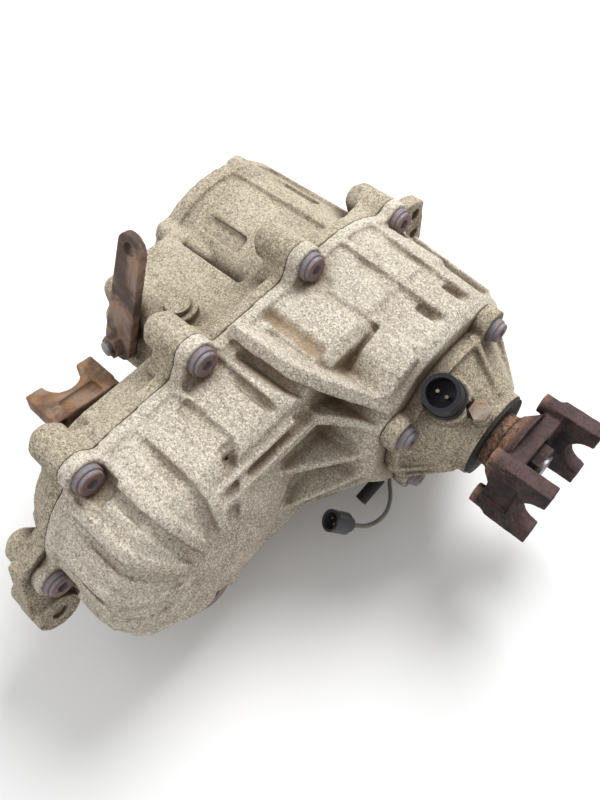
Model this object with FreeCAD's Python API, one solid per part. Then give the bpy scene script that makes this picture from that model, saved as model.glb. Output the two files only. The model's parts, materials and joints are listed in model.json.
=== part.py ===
import FreeCAD
import Part
import math
import os

# Transfer case of the chain-drive, manual-shift kind. Millimetres throughout.
# X runs rearward along both shafts, +Y to the passenger side, +Z up.
# The origin lies on the main axis in the plane of the front adapter face.

V = FreeCAD.Vector
X_AXIS = V(1, 0, 0)

# ---- fits and named clearances -------------------------------------------
RUN = 0.05                 # radial running gap of a shaft in its bearing or seal
AIR = 0.5                  # gap between neighbouring pieces that never touch
SWEEP = 1.5                # gap between turning pieces and what stands round them

# ---- chain and shaft centres ----------------------------------------------
CHAIN_PITCH = 12.7
TEETH = 27                 # both sprockets
LINKS = 54
SHAFT_OFFSET = (LINKS - TEETH) * CHAIN_PITCH / 2.0
PITCH_R = CHAIN_PITCH / (2.0 * math.sin(math.pi / TEETH))
SPROCKET_W = 30.0
TOOTH_TIP = 1.6            # sprocket tip height above the pitch circle
CHAIN_T = 5.2              # radial height of the link plates
TIP_AIR = 0.4              # links over the tooth tips
CHAIN_OUT_R = PITCH_R + TOOTH_TIP + TIP_AIR + CHAIN_T
FRONT_Y = -SHAFT_OFFSET

# ---- stations along the main axis -----------------------------------------
X_FACE = 0.0               # adapter face
X_SPLIT = 114.0            # joint between the case halves
CHAIN_BAY = 53.0           # depth of the chain bay in the rear half
REAR_WALL = 7.0
X_BAY_END = X_SPLIT + CHAIN_BAY
X_REAR_FACE = X_BAY_END + REAR_WALL
TOWER_LEN = 98.0
X_TOWER = X_SPLIT + TOWER_LEN
RET_FLANGE = 10.0
RET_LEN = 43.0
X_RET_END = X_TOWER + RET_LEN
X_SPROCKET = X_SPLIT + 14.0
LINE_END = X_RET_END + 145.0  # past everything on the main line

# ---- case sizes -------------------------------------------------------------
DRUM_R = 71.0
TOWER_R1 = 82.0
TOWER_R2 = 73.0
WALL = 6.5
BAY_AIR = 4.6              # between the chain and the wall of its bay
BAY_R = round(CHAIN_OUT_R + BAY_AIR, 1)
LOBE_R = BAY_R + WALL
FLANGE_UP = 3.0            # joint flange over the walls behind it
FLANGE_R1 = TOWER_R1 + FLANGE_UP
FLANGE_R2 = LOBE_R + FLANGE_UP
FLANGE_T = 8.0
LUG_R = 12.0
LUG_H = 9.0                # lug standing above the joint, each side
GEAR_BAY_R = 64.0

# ---- split flange bolts ------------------------------------------------------
BOLT_R = 5.0
BOLT_HOLE_R = BOLT_R + 0.4
BOLT_LEN = 30.0
BOLT_HEAD_R = 9.2
BOLT_HEAD_H = 6.5
SPLIT_BOLTS = [
    (-27.0, 88.5), (-117.0, 86.0), (FRONT_Y - 31.5, 70.5),
    (60.0, 62.0), (86.0, -14.0), (60.0, -67.0), (8.0, -90.5),
    (-58.0, -87.5), (-118.0, -84.5), (FRONT_Y + 6.0, -77.5),
    (FRONT_Y - 52.0, -58.0), (FRONT_Y - 77.5, 6.0),
]

# ---- adapter face -------------------------------------------------------------
ADAPTER_PCD = 140.0
ADAPTER_COUNT = 6
ADAPTER_HOLE_R = 5.25
ADAPTER_LUG_R = 9.0
ADAPTER_PHASE = 9.0

# ---- rear retainer --------------------------------------------------------------
RET_PCD = 124.0
RET_BOLT_R = 4.0
RET_HEAD_R = 7.6
RET_ANGLES = (60.0, 150.0, 240.0, 330.0)
RET_LUG_R = 12.0
RET_NOSE_R = 30.5

# ---- planetary set ---------------------------------------------------------------
MODULE = 2.25
SUN_TEETH = 28
PLANET_TEETH = 10
RING_TEETH = SUN_TEETH + 2 * PLANET_TEETH
PLANETS = 4
X_GEARS = 48.0
GEAR_W = 26.0
SUN_R = MODULE * SUN_TEETH / 2.0
PLANET_R = MODULE * PLANET_TEETH / 2.0
RING_R = MODULE * RING_TEETH / 2.0
PLANET_ORBIT = SUN_R + PLANET_R

# ---- shafts -------------------------------------------------------------------------
INPUT_R = 23.0
SPLINE_R = 15.0
MAIN_R = 17.0
FRONT_SHAFT_R = 16.0
YOKE_HUB_R = 19.0
BEARING_W = 18.0

# ---- slip-free yokes -------------------------------------------------------------------
CAP_R = 12.8               # bearing cap seat
EAR_MID = 31.0             # half the distance between ear centres
EAR_T = 12.0               # ear thickness along the cap line
PRONG_OUT = 25.0           # half the width over both prongs
STRAP_BOLT = 19.2          # half the strap bolt spacing
YOKE_LEN = 54.0
REAR_YOKE_PHASE = 170.0
FRONT_YOKE_PHASE = 82.0

# ---- shift mechanism ----------------------------------------------------------------------
SHIFT_TILT = 15.0          # the shift shaft rises outward by this much
SHIFT_X = 36.0
SHIFT_Y = -124.0           # station of the lever plate on the shift shaft
SHIFT_Z = 33.0
SHIFT_SHAFT_R = 8.0
LEVER_LEN = 86.0
LEVER_T = 6.0
EYE_R = 4.4
LEVER_LEAN = 12.0          # lever leans rearward of upright
RAIL_Y = -93.0
RAIL_Z = 42.5
RAIL_R = 7.0

# ---- ribs and webs of the rear half --------------------------------------------
RIB_T = 4.5                # cast ribs of the rear half
RIB_UP = 3.5               # how far they stand proud
FLUTE_W = 6.0              # hollow cast beside each rib
FLUTE_DOWN = 3.4
LOBE_RIB_T = 7.5
LOBE_RIB_UP = 2.5
LOBE_FLUTE_W = 8.0
LOBE_RIBS = (     # angles round the front output
    62.0, 84.0, 106.0, 128.0, 152.0, 177.0, 205.0, 236.0, 268.0)
TOP_RIBS = (-104.0, -136.0)              # stations along Y
TOWER_RIBS = (    # angles round the main line
    20.0, 43.0, 65.0, 86.0, 108.0, 284.0, 312.0, 338.0)
BUTTRESS_DEG = 137.0
BUTTRESS_T = 9.0
BRACE_DEG = 150.0
BRACE_T = 7.5
RAIL_STEPS = ((43.5, 7.0, 8.5), (56.5, 4.5, 4.5), (32.0, 4.5, 4.0))   # foot z, width, height
TOWER_PAD_DEG = (111.0, 133.0)
WELL_DOWN = 5.5            # hollows either side of the main buttress
EDGE = 6.0                 # rounding of the chain bay's rear edge

# ---- switch, vent and pump -------------------------------------------------------
SWITCH_X = 194.0
SWITCH_DEG = 258.0
SWITCH_TOP = 89.0
BARB_R = 2.6
HOSE_START = 5.0
HOSE_R = 4.6
VENT_ROOT = (203.0, -40.0, -63.5)
VENT_END = (202.0, -66.0, -70.5)
X_PUMP = X_BAY_END + 5.0
PUMP_W = 14.0
PUMP_R = 46.0
REAR_BRG_R = 40.0
CUP_R = 22.0

# ---- plugs, front output nose, shift pocket and ears -------------------------------
PLUG_R = 9.0
PLUG_FACE = X_REAR_FACE + 1.0
DRAIN_YZ = (FRONT_Y - 15.0, -56.0)
FILL_YZ = (-100.0, -46.0)
NOSE_X = 70.0              # front end of the front output nose
X_FRONT_BRG = NOSE_X + 12.0
FRONT_BRG_R = 36.0
POCKET_Y = -106.0          # outer wall of the shift pocket
POCKET_WALL = 4.5
POCKET_Z0 = -14.0
POCKET_Z1 = 58.0
EAR_STUD_YZ = (FRONT_Y - 90.0, -36.0)
BOSS_LEN = 25.0            # bolt bosses run forward along the front half
DETENT_X = 74.0
DETENT_TOP = 72.0
FILL_FACE = NOSE_X + 1.0
SMALL_BOSS = (99.0, -2.0)
EAR_HOLES = ((97.0, 36.0), (97.0, 17.0))
EAR_HOLE_R = 4.5
EAR_STUD_R = 5.0

# ---- bearing seats, seals and the speed sensor -------------------------------------
INPUT_BRG_R = 43.0
X_INPUT_BRG = 20.0
INPUT_RET_R = 54.0
INPUT_RET_X1 = 14.0
FRONT_SEAL_R = 32.0
SENSOR_DEG = 118.0
SENSOR_X = X_TOWER + 17.0
SENSOR_R = 11.0
SENSOR_COLLAR_R = 12.4
SENSOR_BOSS_TOP = 52.0
HOLD_X = SENSOR_X + 18.5
HOLD_DEG = 110.5
HOLD_TOP = 40.0
REAR_SEAL_R = 26.0
SEAL_W = 9.0
LEAD_IN_R = 16.5           # plain mouth of the input bore
LEAD_IN_LEN = 14.0
X_RANGE_HUB = X_GEARS + GEAR_W + 15.0
X_MODE_HUB = X_SPROCKET - 17.0
X_REAR_BRG = X_TOWER - BEARING_W - 2.0

# ---- yoke ears and nuts ------------------------------------------------------------
EAR_DEPTH = 24.0
POCKET_DOWN = 3.0          # relief on the outside of each ear
SEAT_SET = 1.0             # cap line below the prong tips
NUT_ACROSS = 28.0
NUT_H = 11.0
NUT_SINK = 5.0
FRONT_REACH = 34.0
REAR_REACH = 45.0
STRAP_HOLE_R = 4.0
THREAD_R = 10.0
REAR_TIP = X_RET_END + YOKE_LEN
FRONT_TIP = NOSE_X - 40.0

# ---- sensor lead -------------------------------------------------------------------
LEAD_R = 1.7
# the lead leaves the switch under the tower and hangs past the retainer
LEAD_ROUTE = [
    (194.0, -18.504, -87.055), (194.0, -20.1, -94.5), (200.0, -27.0, -100.0),
    (208.5, -36.0, -98.0), (214.5, -45.5, -93.0), (218.5, -55.5, -86.5),
    (219.5, -65.5, -81.0), (217.5, -74.5, -77.5), (213.5, -81.5, -72.0),
    (209.5, -87.0, -65.0),
]
CONNECTOR_LEN = 20.0

# ---- in the sump -------------------------------------------------------------------
STRAINER_UP = 5.5          # strainer's underside over the bay's radius
MAGNET_R = 8.0
MAGNET_Y = -96.0
MAGNET_AIR = 0.2

parts = {}
bodies = {}


def put(name, body, *solids):
    """Keep the solids of one node; several solids stay separate."""
    flat = []
    for s in solids:
        flat.extend(s.Solids)
    parts[name] = flat[0] if len(flat) == 1 else Part.makeCompound(flat)
    bodies[name] = body


def cyl(x0, x1, r, y=0.0, z=0.0):
    return Part.makeCylinder(r, x1 - x0, V(x0, y, z), X_AXIS)


def ring(x0, x1, ro, ri, y=0.0, z=0.0):
    return cyl(x0, x1, ro, y, z).cut(cyl(x0 - 1, x1 + 1, ri, y, z))


def cone(x0, x1, r0, r1, y=0.0, z=0.0):
    return Part.makeCone(r0, r1, x1 - x0, V(x0, y, z), X_AXIS)


def rod(p, q, r):
    p = V(*p)
    q = V(*q)
    return Part.makeCylinder(r, (q - p).Length, p, q - p)


def poly(points):
    return Part.Face(Part.makePolygon([V(*p) for p in points + points[:1]]))


def plate_yz(points, x0, x1):
    return poly([(x0, y, z) for y, z in points]).extrude(V(x1 - x0, 0, 0))


def turned(profile, y=0.0, z=0.0):
    """Solid of revolution round a line parallel to X; profile lists (x, r)."""
    f = poly([(x, y + r, z) for x, r in profile])
    return f.revolve(V(0, y, z), X_AXIS, 360)


def about_x(shape, deg, y=0.0, z=0.0):
    out = shape.copy()
    out.rotate(V(0, y, z), X_AXIS, deg)
    return out


def polar(r, deg, y=0.0, z=0.0):
    a = math.radians(deg)
    return (y + r * math.cos(a), z + r * math.sin(a))


def hull_wire(x, r1, r2, y1=0.0, y2=FRONT_Y, dz=0.0):
    """Outline round two circles, joined by their outer tangents."""
    d = y1 - y2
    k = (r1 - r2) / d
    s = math.sqrt(1.0 - k * k)
    pts = []
    for cy, r in ((y1, r1), (y2, r2)):
        pts.append((V(x, cy - r * k, dz + r * s), V(x, cy - r * k, dz - r * s)))
    (a_up, a_dn), (b_up, b_dn) = pts
    e1 = Part.Arc(a_dn, V(x, y1 + r1, dz), a_up).toShape()
    e2 = Part.LineSegment(a_up, b_up).toShape()
    e3 = Part.Arc(b_up, V(x, y2 - r2, dz), b_dn).toShape()
    e4 = Part.LineSegment(b_dn, a_dn).toShape()
    return Part.Wire([e1, e2, e3, e4])


def hull(x0, x1, a, b):
    """Tapered housing between outline radii a at x0 and b at x1."""
    return Part.makeLoft([hull_wire(x0, *a), hull_wire(x1, *b)], True, True)


def fuse(base, *others):
    return base.fuse(list(others)).removeSplitter()


def cut(base, *tools):
    return base.cut(list(tools))


def gear_wire(x, n, tip, root, tip_w, root_w, y=0.0, z=0.0, phase=0.0):
    """Straight-flanked tooth outline; widths are arc lengths at tip and root."""
    pts = []
    for i in range(n):
        a = 360.0 * i / n + phase
        ht = math.degrees(tip_w / tip) / 2.0
        hr = math.degrees(root_w / root) / 2.0
        for r, d in ((root, -hr), (tip, -ht), (tip, ht), (root, hr)):
            yy, zz = polar(r, a + d, y, z)
            pts.append((x, yy, zz))
    return Part.makePolygon([V(*p) for p in pts + pts[:1]])


def gear(x0, x1, n, tip, root, tip_w, root_w, y=0.0, z=0.0, phase=0.0):
    w = gear_wire(x0, n, tip, root, tip_w, root_w, y, z, phase)
    return Part.Face(w).extrude(V(x1 - x0, 0, 0))


def hex_head(x0, h, across, y, z):
    r = across / math.sqrt(3.0)
    return plate_yz([polar(r, 60 * i, y, z) for i in range(6)], x0, x0 + h)


def flange_bolt(x0, length, r, head_r, head_h, y, z):
    """Round flanged head with a small centre dimple, head on the rear side."""
    return turned([(x0 - length, 0), (x0 - length, r), (x0, r), (x0, head_r),
                   (x0 + head_h * 0.6, head_r), (x0 + head_h, head_r * 0.74),
                   (x0 + head_h, head_r * 0.22), (x0 + head_h - 1.6, 0)], y, z)


# ---- castings --------------------------------------------------------------------

def shift_dir():
    a = math.radians(SHIFT_TILT)
    return V(0, -math.cos(a), math.sin(a))


def shift_point(out):
    """Point on the shift shaft, measured outward from the lever station."""
    return V(SHIFT_X, SHIFT_Y, SHIFT_Z) + shift_dir() * out


def shift_cyl(a, b, r):
    return Part.makeCylinder(r, b - a, shift_point(a), shift_dir())


def joint_lugs(x0, x1):
    return [cyl(x0, x1, LUG_R, y, z) for y, z in SPLIT_BOLTS]


def lug_roots(x0, x1):
    """Flared webs tying each lug back to the wall behind it."""
    out = []
    for y, z in SPLIT_BOLTS:
        cy = min(max(y, FRONT_Y), 0.0)
        a = math.degrees(math.atan2(z, y - cy))
        r = math.hypot(y - cy, z)
        w = LUG_R * 0.85
        wide = LUG_R + 9.0
        f = [(x0, cy + r - 26, -wide), (x0, cy + r - 12, -wide), (x0, cy + r + 3, -w),
             (x0, cy + r + 3, w), (x0, cy + r - 12, wide), (x0, cy + r - 26, wide)]
        out.append(about_x(poly(f).extrude(V(x1 - x0, 0, 0)), a, cy))
    return out


def bolt_holes(x0, x1):
    return [cyl(x0, x1, BOLT_HOLE_R, y, z) for y, z in SPLIT_BOLTS]


def radial_rib(profile, deg, t, y=0.0, z=0.0, side=0.0):
    """Flat rib standing on a line of the axis; profile lists (x, r)."""
    f = poly([(x, y + r, z - t / 2.0 + side) for x, r in profile])
    return about_x(f.extrude(V(0, 0, t)), deg, y, z)


def ribs_and_flutes():
    """Ribs of the rear half, and the hollows cast beside them."""
    x = X_REAR_FACE
    r = LOBE_R
    rib_ends = [(X_SPLIT + 4, r - 6), (X_SPLIT + 4, r + LOBE_RIB_UP),
                (x - 18, r + LOBE_RIB_UP), (x - 5, r + 0.5), (x + 2.5, r - 7),
                (x + 9, r - 20), (x + 12.5, r - 33), (x + 12, r - 46), (x + 8, r - 48)]
    over = r + 12
    flute = [(X_SPLIT + 16, r - 1), (x - 30, r - FLUTE_DOWN), (x - 6, r - FLUTE_DOWN - 1),
             (x - 1, r - 10), (x + 4.5, r - 22), (x + 9, r - 36), (x + 12, r - 42),
             (x + 20, r - 42), (x + 20, over), (X_SPLIT + 16, over)]
    ribs = []
    flutes = []
    beside = (LOBE_RIB_T + LOBE_FLUTE_W) / 2.0
    for deg in LOBE_RIBS:
        ribs.append(radial_rib(rib_ends, deg, LOBE_RIB_T, FRONT_Y))
        flutes.append(radial_rib(flute, deg, LOBE_FLUTE_W, FRONT_Y, side=beside))
    beside = (RIB_T + FLUTE_W) / 2.0
    slope = (TOWER_R1 - LOBE_R) / SHAFT_OFFSET
    for y0 in TOP_RIBS:
        top = TOWER_R1 + y0 * slope
        for deg, way in ((90, 1), (270, -1)):
            prof = [(X_SPLIT + 4, top - 8), (X_SPLIT + 4, top + RIB_UP),
                    (x - 8, top + RIB_UP - 3), (x - 1, top - 6), (x - 1, top - 12)]
            ribs.append(radial_rib(prof, deg, RIB_T, y0))
            prof = [(X_SPLIT + 18, top), (X_SPLIT + 30, top - FLUTE_DOWN),
                    (x + 2, top - FLUTE_DOWN - 3), (x + 2, top + 9), (X_SPLIT + 18, top + 9)]
            flutes.append(radial_rib(prof, deg, FLUTE_W, y0, side=way * beside))
    for deg in TOWER_RIBS:
        prof = [(X_SPLIT + 5, TOWER_R1 - 6), (X_SPLIT + 5, TOWER_R1 + RIB_UP),
                (X_TOWER - 10, TOWER_R2 + RIB_UP + 1), (X_TOWER - 3, TOWER_R2 - 3)]
        ribs.append(radial_rib(prof, deg, RIB_T))
        prof = [(X_SPLIT + 18, TOWER_R1), (X_SPLIT + 28, TOWER_R1 - FLUTE_DOWN - 1),
                (X_TOWER - 18, TOWER_R2 - FLUTE_DOWN + 1), (X_TOWER - 9, TOWER_R2 + 1),
                (X_TOWER - 9, TOWER_R1 + 9), (X_SPLIT + 18, TOWER_R1 + 9)]
        flutes.append(radial_rib(prof, deg, FLUTE_W, side=beside))
    return ribs, flutes


def top_reach(deg):
    """How far out a line from the tower's axis leaves the flat top."""
    a = math.radians(deg)
    slope = (TOWER_R1 - LOBE_R) / SHAFT_OFFSET
    return TOWER_R1 / (math.sin(a) - slope * math.cos(a))


def buttresses():
    """Webs that carry the tower: main buttress, brace, pad and the rear face's rails."""
    x = X_REAR_FACE
    xt = X_TOWER - 1
    out = [radial_rib([(X_SPLIT + 4, 70), (X_SPLIT + 4, 124), (x - 9, 121), (x + 7, 108),
                       (x + 24, 87), (xt, TOWER_R2 + 1), (xt, 60)], BUTTRESS_DEG, BUTTRESS_T),
           radial_rib([(x - 8, 60), (x - 8, 104), (x + 8.5, 103), (x + 15, 93),
                       (x + 25, 81), (xt, TOWER_R2 + 1), (xt, 60)], BRACE_DEG, BRACE_T)]
    for deg, far, hi in ((171, 122, 31), (192, 130, 32), (213, 116, 30), (236, 98, 26)):
        out.append(radial_rib([(x - 20, 60), (x + hi, 60), (x + hi, TOWER_R2 + 2),
                               (x + 3, far), (x - 8, far + 4), (x - 20, far + 2)],
                              deg, BRACE_T - 1.5))
    for z0, w, h in RAIL_STEPS:
        near = -z0 / math.tan(math.radians(180 - BRACE_DEG)) - 2
        out.append(Part.makeBox(4 + h, near - FRONT_Y - 4, w, V(x - 4, FRONT_Y + 4, z0)))
    a, b = TOWER_PAD_DEG
    out.append(plate_yz([polar(60, a), polar(TOWER_R2 + 7.5, a),
                         polar(TOWER_R2 + 9, (a + b) / 2), polar(TOWER_R2 + 7.5, b),
                         polar(60, b)], X_TOWER - 34, X_TOWER - 4))
    beside = (BUTTRESS_T + 8.0) / 2.0
    wells = []
    for way in (-1, 1):
        r = top_reach(BUTTRESS_DEG + 3.2 * way)
        wells.append(radial_rib([(X_SPLIT + 15, r + 8), (X_SPLIT + 15, r),
                                 (X_SPLIT + 22, r - WELL_DOWN), (x - 9, r - WELL_DOWN - 1),
                                 (x + 4, r - WELL_DOWN - 8), (x + 4, r + 8)],
                                BUTTRESS_DEG, 8.0, side=way * beside))
    return out, wells


def rear_case():
    flange = hull(X_SPLIT, X_SPLIT + FLANGE_T, (FLANGE_R1, FLANGE_R2),
                  (FLANGE_R1, FLANGE_R2))
    low = hull(X_SPLIT, X_REAR_FACE - EDGE, (TOWER_R1, LOBE_R + 1),
               (TOWER_R1 - 2, LOBE_R - 1))
    top = hull(X_REAR_FACE - EDGE, X_REAR_FACE, (TOWER_R1 - 2, LOBE_R - 1),
               (TOWER_R1 - 2 - EDGE, LOBE_R - 1 - EDGE))
    tower = cone(X_SPLIT, X_TOWER - 6, TOWER_R1, TOWER_R2 + 1)
    neck = cone(X_TOWER - 6, X_TOWER, TOWER_R2 + 1, TOWER_R2 - 4)
    x = X_REAR_FACE
    r = LOBE_R
    dome = turned([(x - EDGE, 0), (x - EDGE, r - 1), (x, r - 1 - EDGE), (x + 6, r - 20),
                   (x + 10.5, r - 36), (x + 12, 12), (x + 12, 0)], FRONT_Y)
    shape = flange.fuse([low, top, tower, neck, dome])
    extra = joint_lugs(X_SPLIT, X_SPLIT + LUG_H)
    extra += lug_roots(X_SPLIT, X_SPLIT + LUG_H)
    # retainer bolt bosses down the tower
    for deg in RET_ANGLES:
        y, z = polar(RET_PCD / 2, deg)
        extra.append(cyl(X_TOWER - 24, X_TOWER, RET_LUG_R, y, z))
    # bosses of the drain plug, the indicator switch and the breather
    extra.append(cyl(X_SPLIT + 20, PLUG_FACE, 14.0, *DRAIN_YZ))
    extra.append(radial_cyl(SWITCH_X, SWITCH_DEG, 56.0, SWITCH_TOP - 14.0, 11.5))
    extra.append(rod(vent_point(-12.0), vent_point(0.0), 6.0))
    ribs, flutes = ribs_and_flutes()
    webs, wells = buttresses()
    shape = shape.fuse(ribs).cut(flutes).cut(wells)
    shape = fuse(shape, *(extra + webs))
    bay = hull(X_SPLIT - 1, X_BAY_END, (BAY_R + 2, BAY_R), (BAY_R + 1, BAY_R - 1))
    tools = [bay]
    tools += bolt_holes(X_SPLIT - 1, X_SPLIT + LUG_H + 1)
    # spot faces so the round heads sit flat beside the walls
    for y, z in SPLIT_BOLTS:
        tools.append(cyl(X_SPLIT + LUG_H, X_SPLIT + LUG_H + 16, BOLT_HEAD_R + 1.2, y, z))
    tools.append(cyl(X_BAY_END - 1, X_PUMP + PUMP_W, PUMP_R))
    tools.append(cyl(X_PUMP, X_TOWER + 1, REAR_BRG_R))
    tools.append(cyl(X_BAY_END - 1, X_REAR_FACE + 4, CUP_R, FRONT_Y))
    for deg in RET_ANGLES:
        y, z = polar(RET_PCD / 2, deg)
        tools.append(cyl(X_TOWER - 20, X_TOWER + 1, RET_BOLT_R, y, z))
    tools.append(cyl(PLUG_FACE - 12, PLUG_FACE + 1, PLUG_R, *DRAIN_YZ))
    tools.append(cyl(PLUG_FACE, PLUG_FACE + 12, PLUG_R + 4.5, *DRAIN_YZ))
    tools.append(radial_cyl(SWITCH_X, SWITCH_DEG, 62.0, SWITCH_TOP, 5.0))
    tools.append(radial_cyl(SWITCH_X, SWITCH_DEG, SWITCH_TOP - 14.0, SWITCH_TOP + 5, 11.0))
    tools.append(rod(vent_point(-8.5), vent_point(HOSE_START), BARB_R + RUN))
    tools.append(rod(vent_point(HOSE_START - AIR), vent_point(40.0), HOSE_R + AIR))
    shape = cut(shape, *tools)
    put("rear_case", "case", shape)


def vent_point(t):
    """Point on the breather's line, measured outward from its root."""
    root = V(*VENT_ROOT)
    way = V(*VENT_END) - root
    way.normalize()
    p = root + way * t
    return (p.x, p.y, p.z)


def front_case():
    flange = hull(X_SPLIT - FLANGE_T, X_SPLIT, (FLANGE_R1, FLANGE_R2),
                  (FLANGE_R1, FLANGE_R2))
    body = hull(NOSE_X + 14, X_SPLIT, (DRUM_R - 6, LOBE_R - 10), (TOWER_R1, LOBE_R + 1))
    slope = hull(NOSE_X + 4, NOSE_X + 14, (DRUM_R - 18, LOBE_R - 24),
                 (DRUM_R - 6, LOBE_R - 10))
    drum = cyl(X_FACE, X_SPLIT, DRUM_R)
    lip = cyl(X_FACE, 11.0, DRUM_R + 3)
    nose = turned([(NOSE_X, 0), (NOSE_X, 39), (NOSE_X + 3, 42), (NOSE_X + 20, 52),
                   (NOSE_X + 20, 0)], FRONT_Y)
    shape = flange.fuse([body, slope, drum, lip, nose])
    extra = joint_lugs(X_SPLIT - BOSS_LEN, X_SPLIT)
    extra += lug_roots(X_SPLIT - BOSS_LEN + 8, X_SPLIT)
    extra += [cone(X_SPLIT - BOSS_LEN - 6, X_SPLIT - BOSS_LEN, LUG_R - 5, LUG_R, y, z)
              for y, z in SPLIT_BOLTS]
    for i in range(ADAPTER_COUNT):
        a = ADAPTER_PHASE + 360.0 * i / ADAPTER_COUNT
        y, z = polar(ADAPTER_PCD / 2, a)
        extra.append(cyl(X_FACE, 26.0, ADAPTER_LUG_R, y, z))
        extra.append(cone(26.0, 46.0, ADAPTER_LUG_R, 5.0, y * 0.97, z * 0.97))
    # ribs along the drum
    drum_rib = [(8, DRUM_R - 5), (8, DRUM_R + 3), (X_SPLIT - 4, DRUM_R + 4),
                (X_SPLIT - 4, DRUM_R - 5)]
    for deg in (40, 75, 300, 330, 270):
        extra.append(radial_rib(drum_rib, deg, 5.0))
    # shift pocket with its rounded corners, and the boss of the shift shaft
    pocket = Part.makeBox(X_SPLIT - 10.0, 60.0, POCKET_Z1 - POCKET_Z0 + 2 * WALL,
                          V(10.0, POCKET_Y - POCKET_WALL, POCKET_Z0 - WALL))
    along = []
    for e in pocket.Edges:
        m = e.CenterOfMass
        if m.y < POCKET_Y - POCKET_WALL + 0.1 and abs(e.Vertexes[0].X - e.Vertexes[1].X) > 1:
            along.append(e)
        elif m.x < 10.1 and abs(m.y - POCKET_Y + POCKET_WALL) < 31:
            along.append(e)
    pocket = pocket.makeFillet(9.0, along)
    extra.append(pocket)
    extra.append(shift_cyl(-34.0, -9.5, 25.0))
    extra.append(shift_cyl(-12.0, -LEVER_T - AIR, 14.0))
    # detent boss on top of the pocket
    extra.append(Part.makeCylinder(12.0, DETENT_TOP - POCKET_Z1 + 4,
                                   V(DETENT_X, RAIL_Y, POCKET_Z1 - 4)))
    # ribs between the pocket and the front output nose
    for deg in (62, 96, 130, 165, 200, 240, 282):
        prof = [(NOSE_X + 6, 38), (NOSE_X + 6, 45), (NOSE_X + 15, LOBE_R - 8),
                (X_SPLIT - 6, LOBE_R + 2), (X_SPLIT - 6, LOBE_R - 10)]
        extra.append(radial_rib(prof, deg, 5.0, FRONT_Y))
    # two-hole ear on the passenger side and the pad ear on the driver side
    extra.append(plate_yz([(60, 56), (94, 49), (106, 43), (108, 8), (100, -10),
                           (70, -26)], X_SPLIT - 11, X_SPLIT))
    extra.append(cyl(X_SPLIT - 20, X_SPLIT, 8.5, *SMALL_BOSS))
    extra.append(cyl(FILL_FACE, X_SPLIT - 16, 14.0, *FILL_YZ))
    ey, ez = EAR_STUD_YZ
    extra.append(plate_yz([(FRONT_Y - 56, 34), (FRONT_Y - 92, 18), (ey - 15, ez + 6),
                           (ey - 15, ez - 6), (ey - 2, ez - 14),
                           (FRONT_Y - 46, -66)], X_SPLIT - 13, X_SPLIT))
    extra.append(cyl(X_SPLIT - 26, X_SPLIT + 6, 15.0, ey, ez))
    shape = fuse(shape, *extra)
    bay = hull(X_SPLIT - 18, X_SPLIT + 1, (BAY_R + 2, BAY_R - 4), (BAY_R + 2, BAY_R))
    tools = [bay, cyl(X_GEARS - 8, X_SPLIT + 1, GEAR_BAY_R)]
    tools.append(cyl(X_FACE - 1, X_GEARS, INPUT_BRG_R))
    tools.append(cyl(X_FACE - 1, INPUT_RET_X1, INPUT_RET_R))
    inner = Part.makeBox(X_SPLIT - 17.0, 48.0, POCKET_Z1 - POCKET_Z0,
                         V(18.0, POCKET_Y, POCKET_Z0))
    tools.append(inner)
    # way through for the arms of the two forks
    tools.append(Part.makeBox(X_SPLIT - 17.0, 18.0, 40.0, V(18.0, -64.0, 4.0)))
    tools.append(shift_cyl(-60.0, 1.0, SHIFT_SHAFT_R + RUN))
    tools.append(Part.makeCylinder(5.0, 60.0, V(DETENT_X, RAIL_Y, RAIL_Z)))
    tools.append(cyl(11.0, 19.0, RAIL_R + RUN, RAIL_Y, RAIL_Z))
    tools.append(cyl(NOSE_X - 1, X_FRONT_BRG + BEARING_W + 4, FRONT_BRG_R - 6, FRONT_Y))
    tools.append(cyl(X_FRONT_BRG, X_FRONT_BRG + BEARING_W + 8, FRONT_BRG_R, FRONT_Y))
    tools.append(cyl(NOSE_X - 1, NOSE_X + 10, FRONT_SEAL_R, FRONT_Y))
    # hollows cast into the drum beside its bosses
    for deg, x0, x1 in ((112, 22, 62), (146, 22, 44), (52, 22, 66), (290, 22, 62)):
        tools.append(radial_rib([(x0, DRUM_R + 1), (x0 + 8, DRUM_R - 3.5), (x1, DRUM_R - 4),
                                 (x1, DRUM_R + 12), (x0, DRUM_R + 12)], deg, 12.0))
    tools += bolt_holes(X_SPLIT - BOLT_LEN + LUG_H - 3, X_SPLIT + 1)
    for i in range(ADAPTER_COUNT):
        a = ADAPTER_PHASE + 360.0 * i / ADAPTER_COUNT
        tools.append(cyl(-1, 22.0, ADAPTER_HOLE_R, *polar(ADAPTER_PCD / 2, a)))
    for y, z in EAR_HOLES:
        tools.append(cyl(X_SPLIT - 30, X_SPLIT + 1, EAR_HOLE_R, y, z))
    tools.append(cyl(X_SPLIT - 30, X_SPLIT + 10, EAR_STUD_R, ey, ez))
    tools.append(cyl(FILL_FACE - 1, FILL_FACE + 12, PLUG_R, *FILL_YZ))
    shape = cut(shape, *tools)
    put("front_case", "case", shape)


def retainer_flange(x0, x1):
    base = cyl(x0, x1, RET_PCD / 2 - 4)
    lugs = []
    for deg in RET_ANGLES:
        y, z = polar(RET_PCD / 2, deg)
        lugs.append(cyl(x0, x1, RET_LUG_R, y, z))
        web = poly([(x0, 30, -14), (x0, RET_PCD / 2 + 2, -11),
                    (x0, RET_PCD / 2 + 2, 11), (x0, 30, 14)])
        lugs.append(about_x(web.extrude(V(x1 - x0, 0, 0)), deg))
    return base.fuse(lugs)


def radial_cyl(x, deg, r0, r1, r):
    a = math.radians(deg)
    d = V(0, math.cos(a), math.sin(a))
    return Part.makeCylinder(r, r1 - r0, V(x, 0, 0) + d * r0, d)


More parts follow.
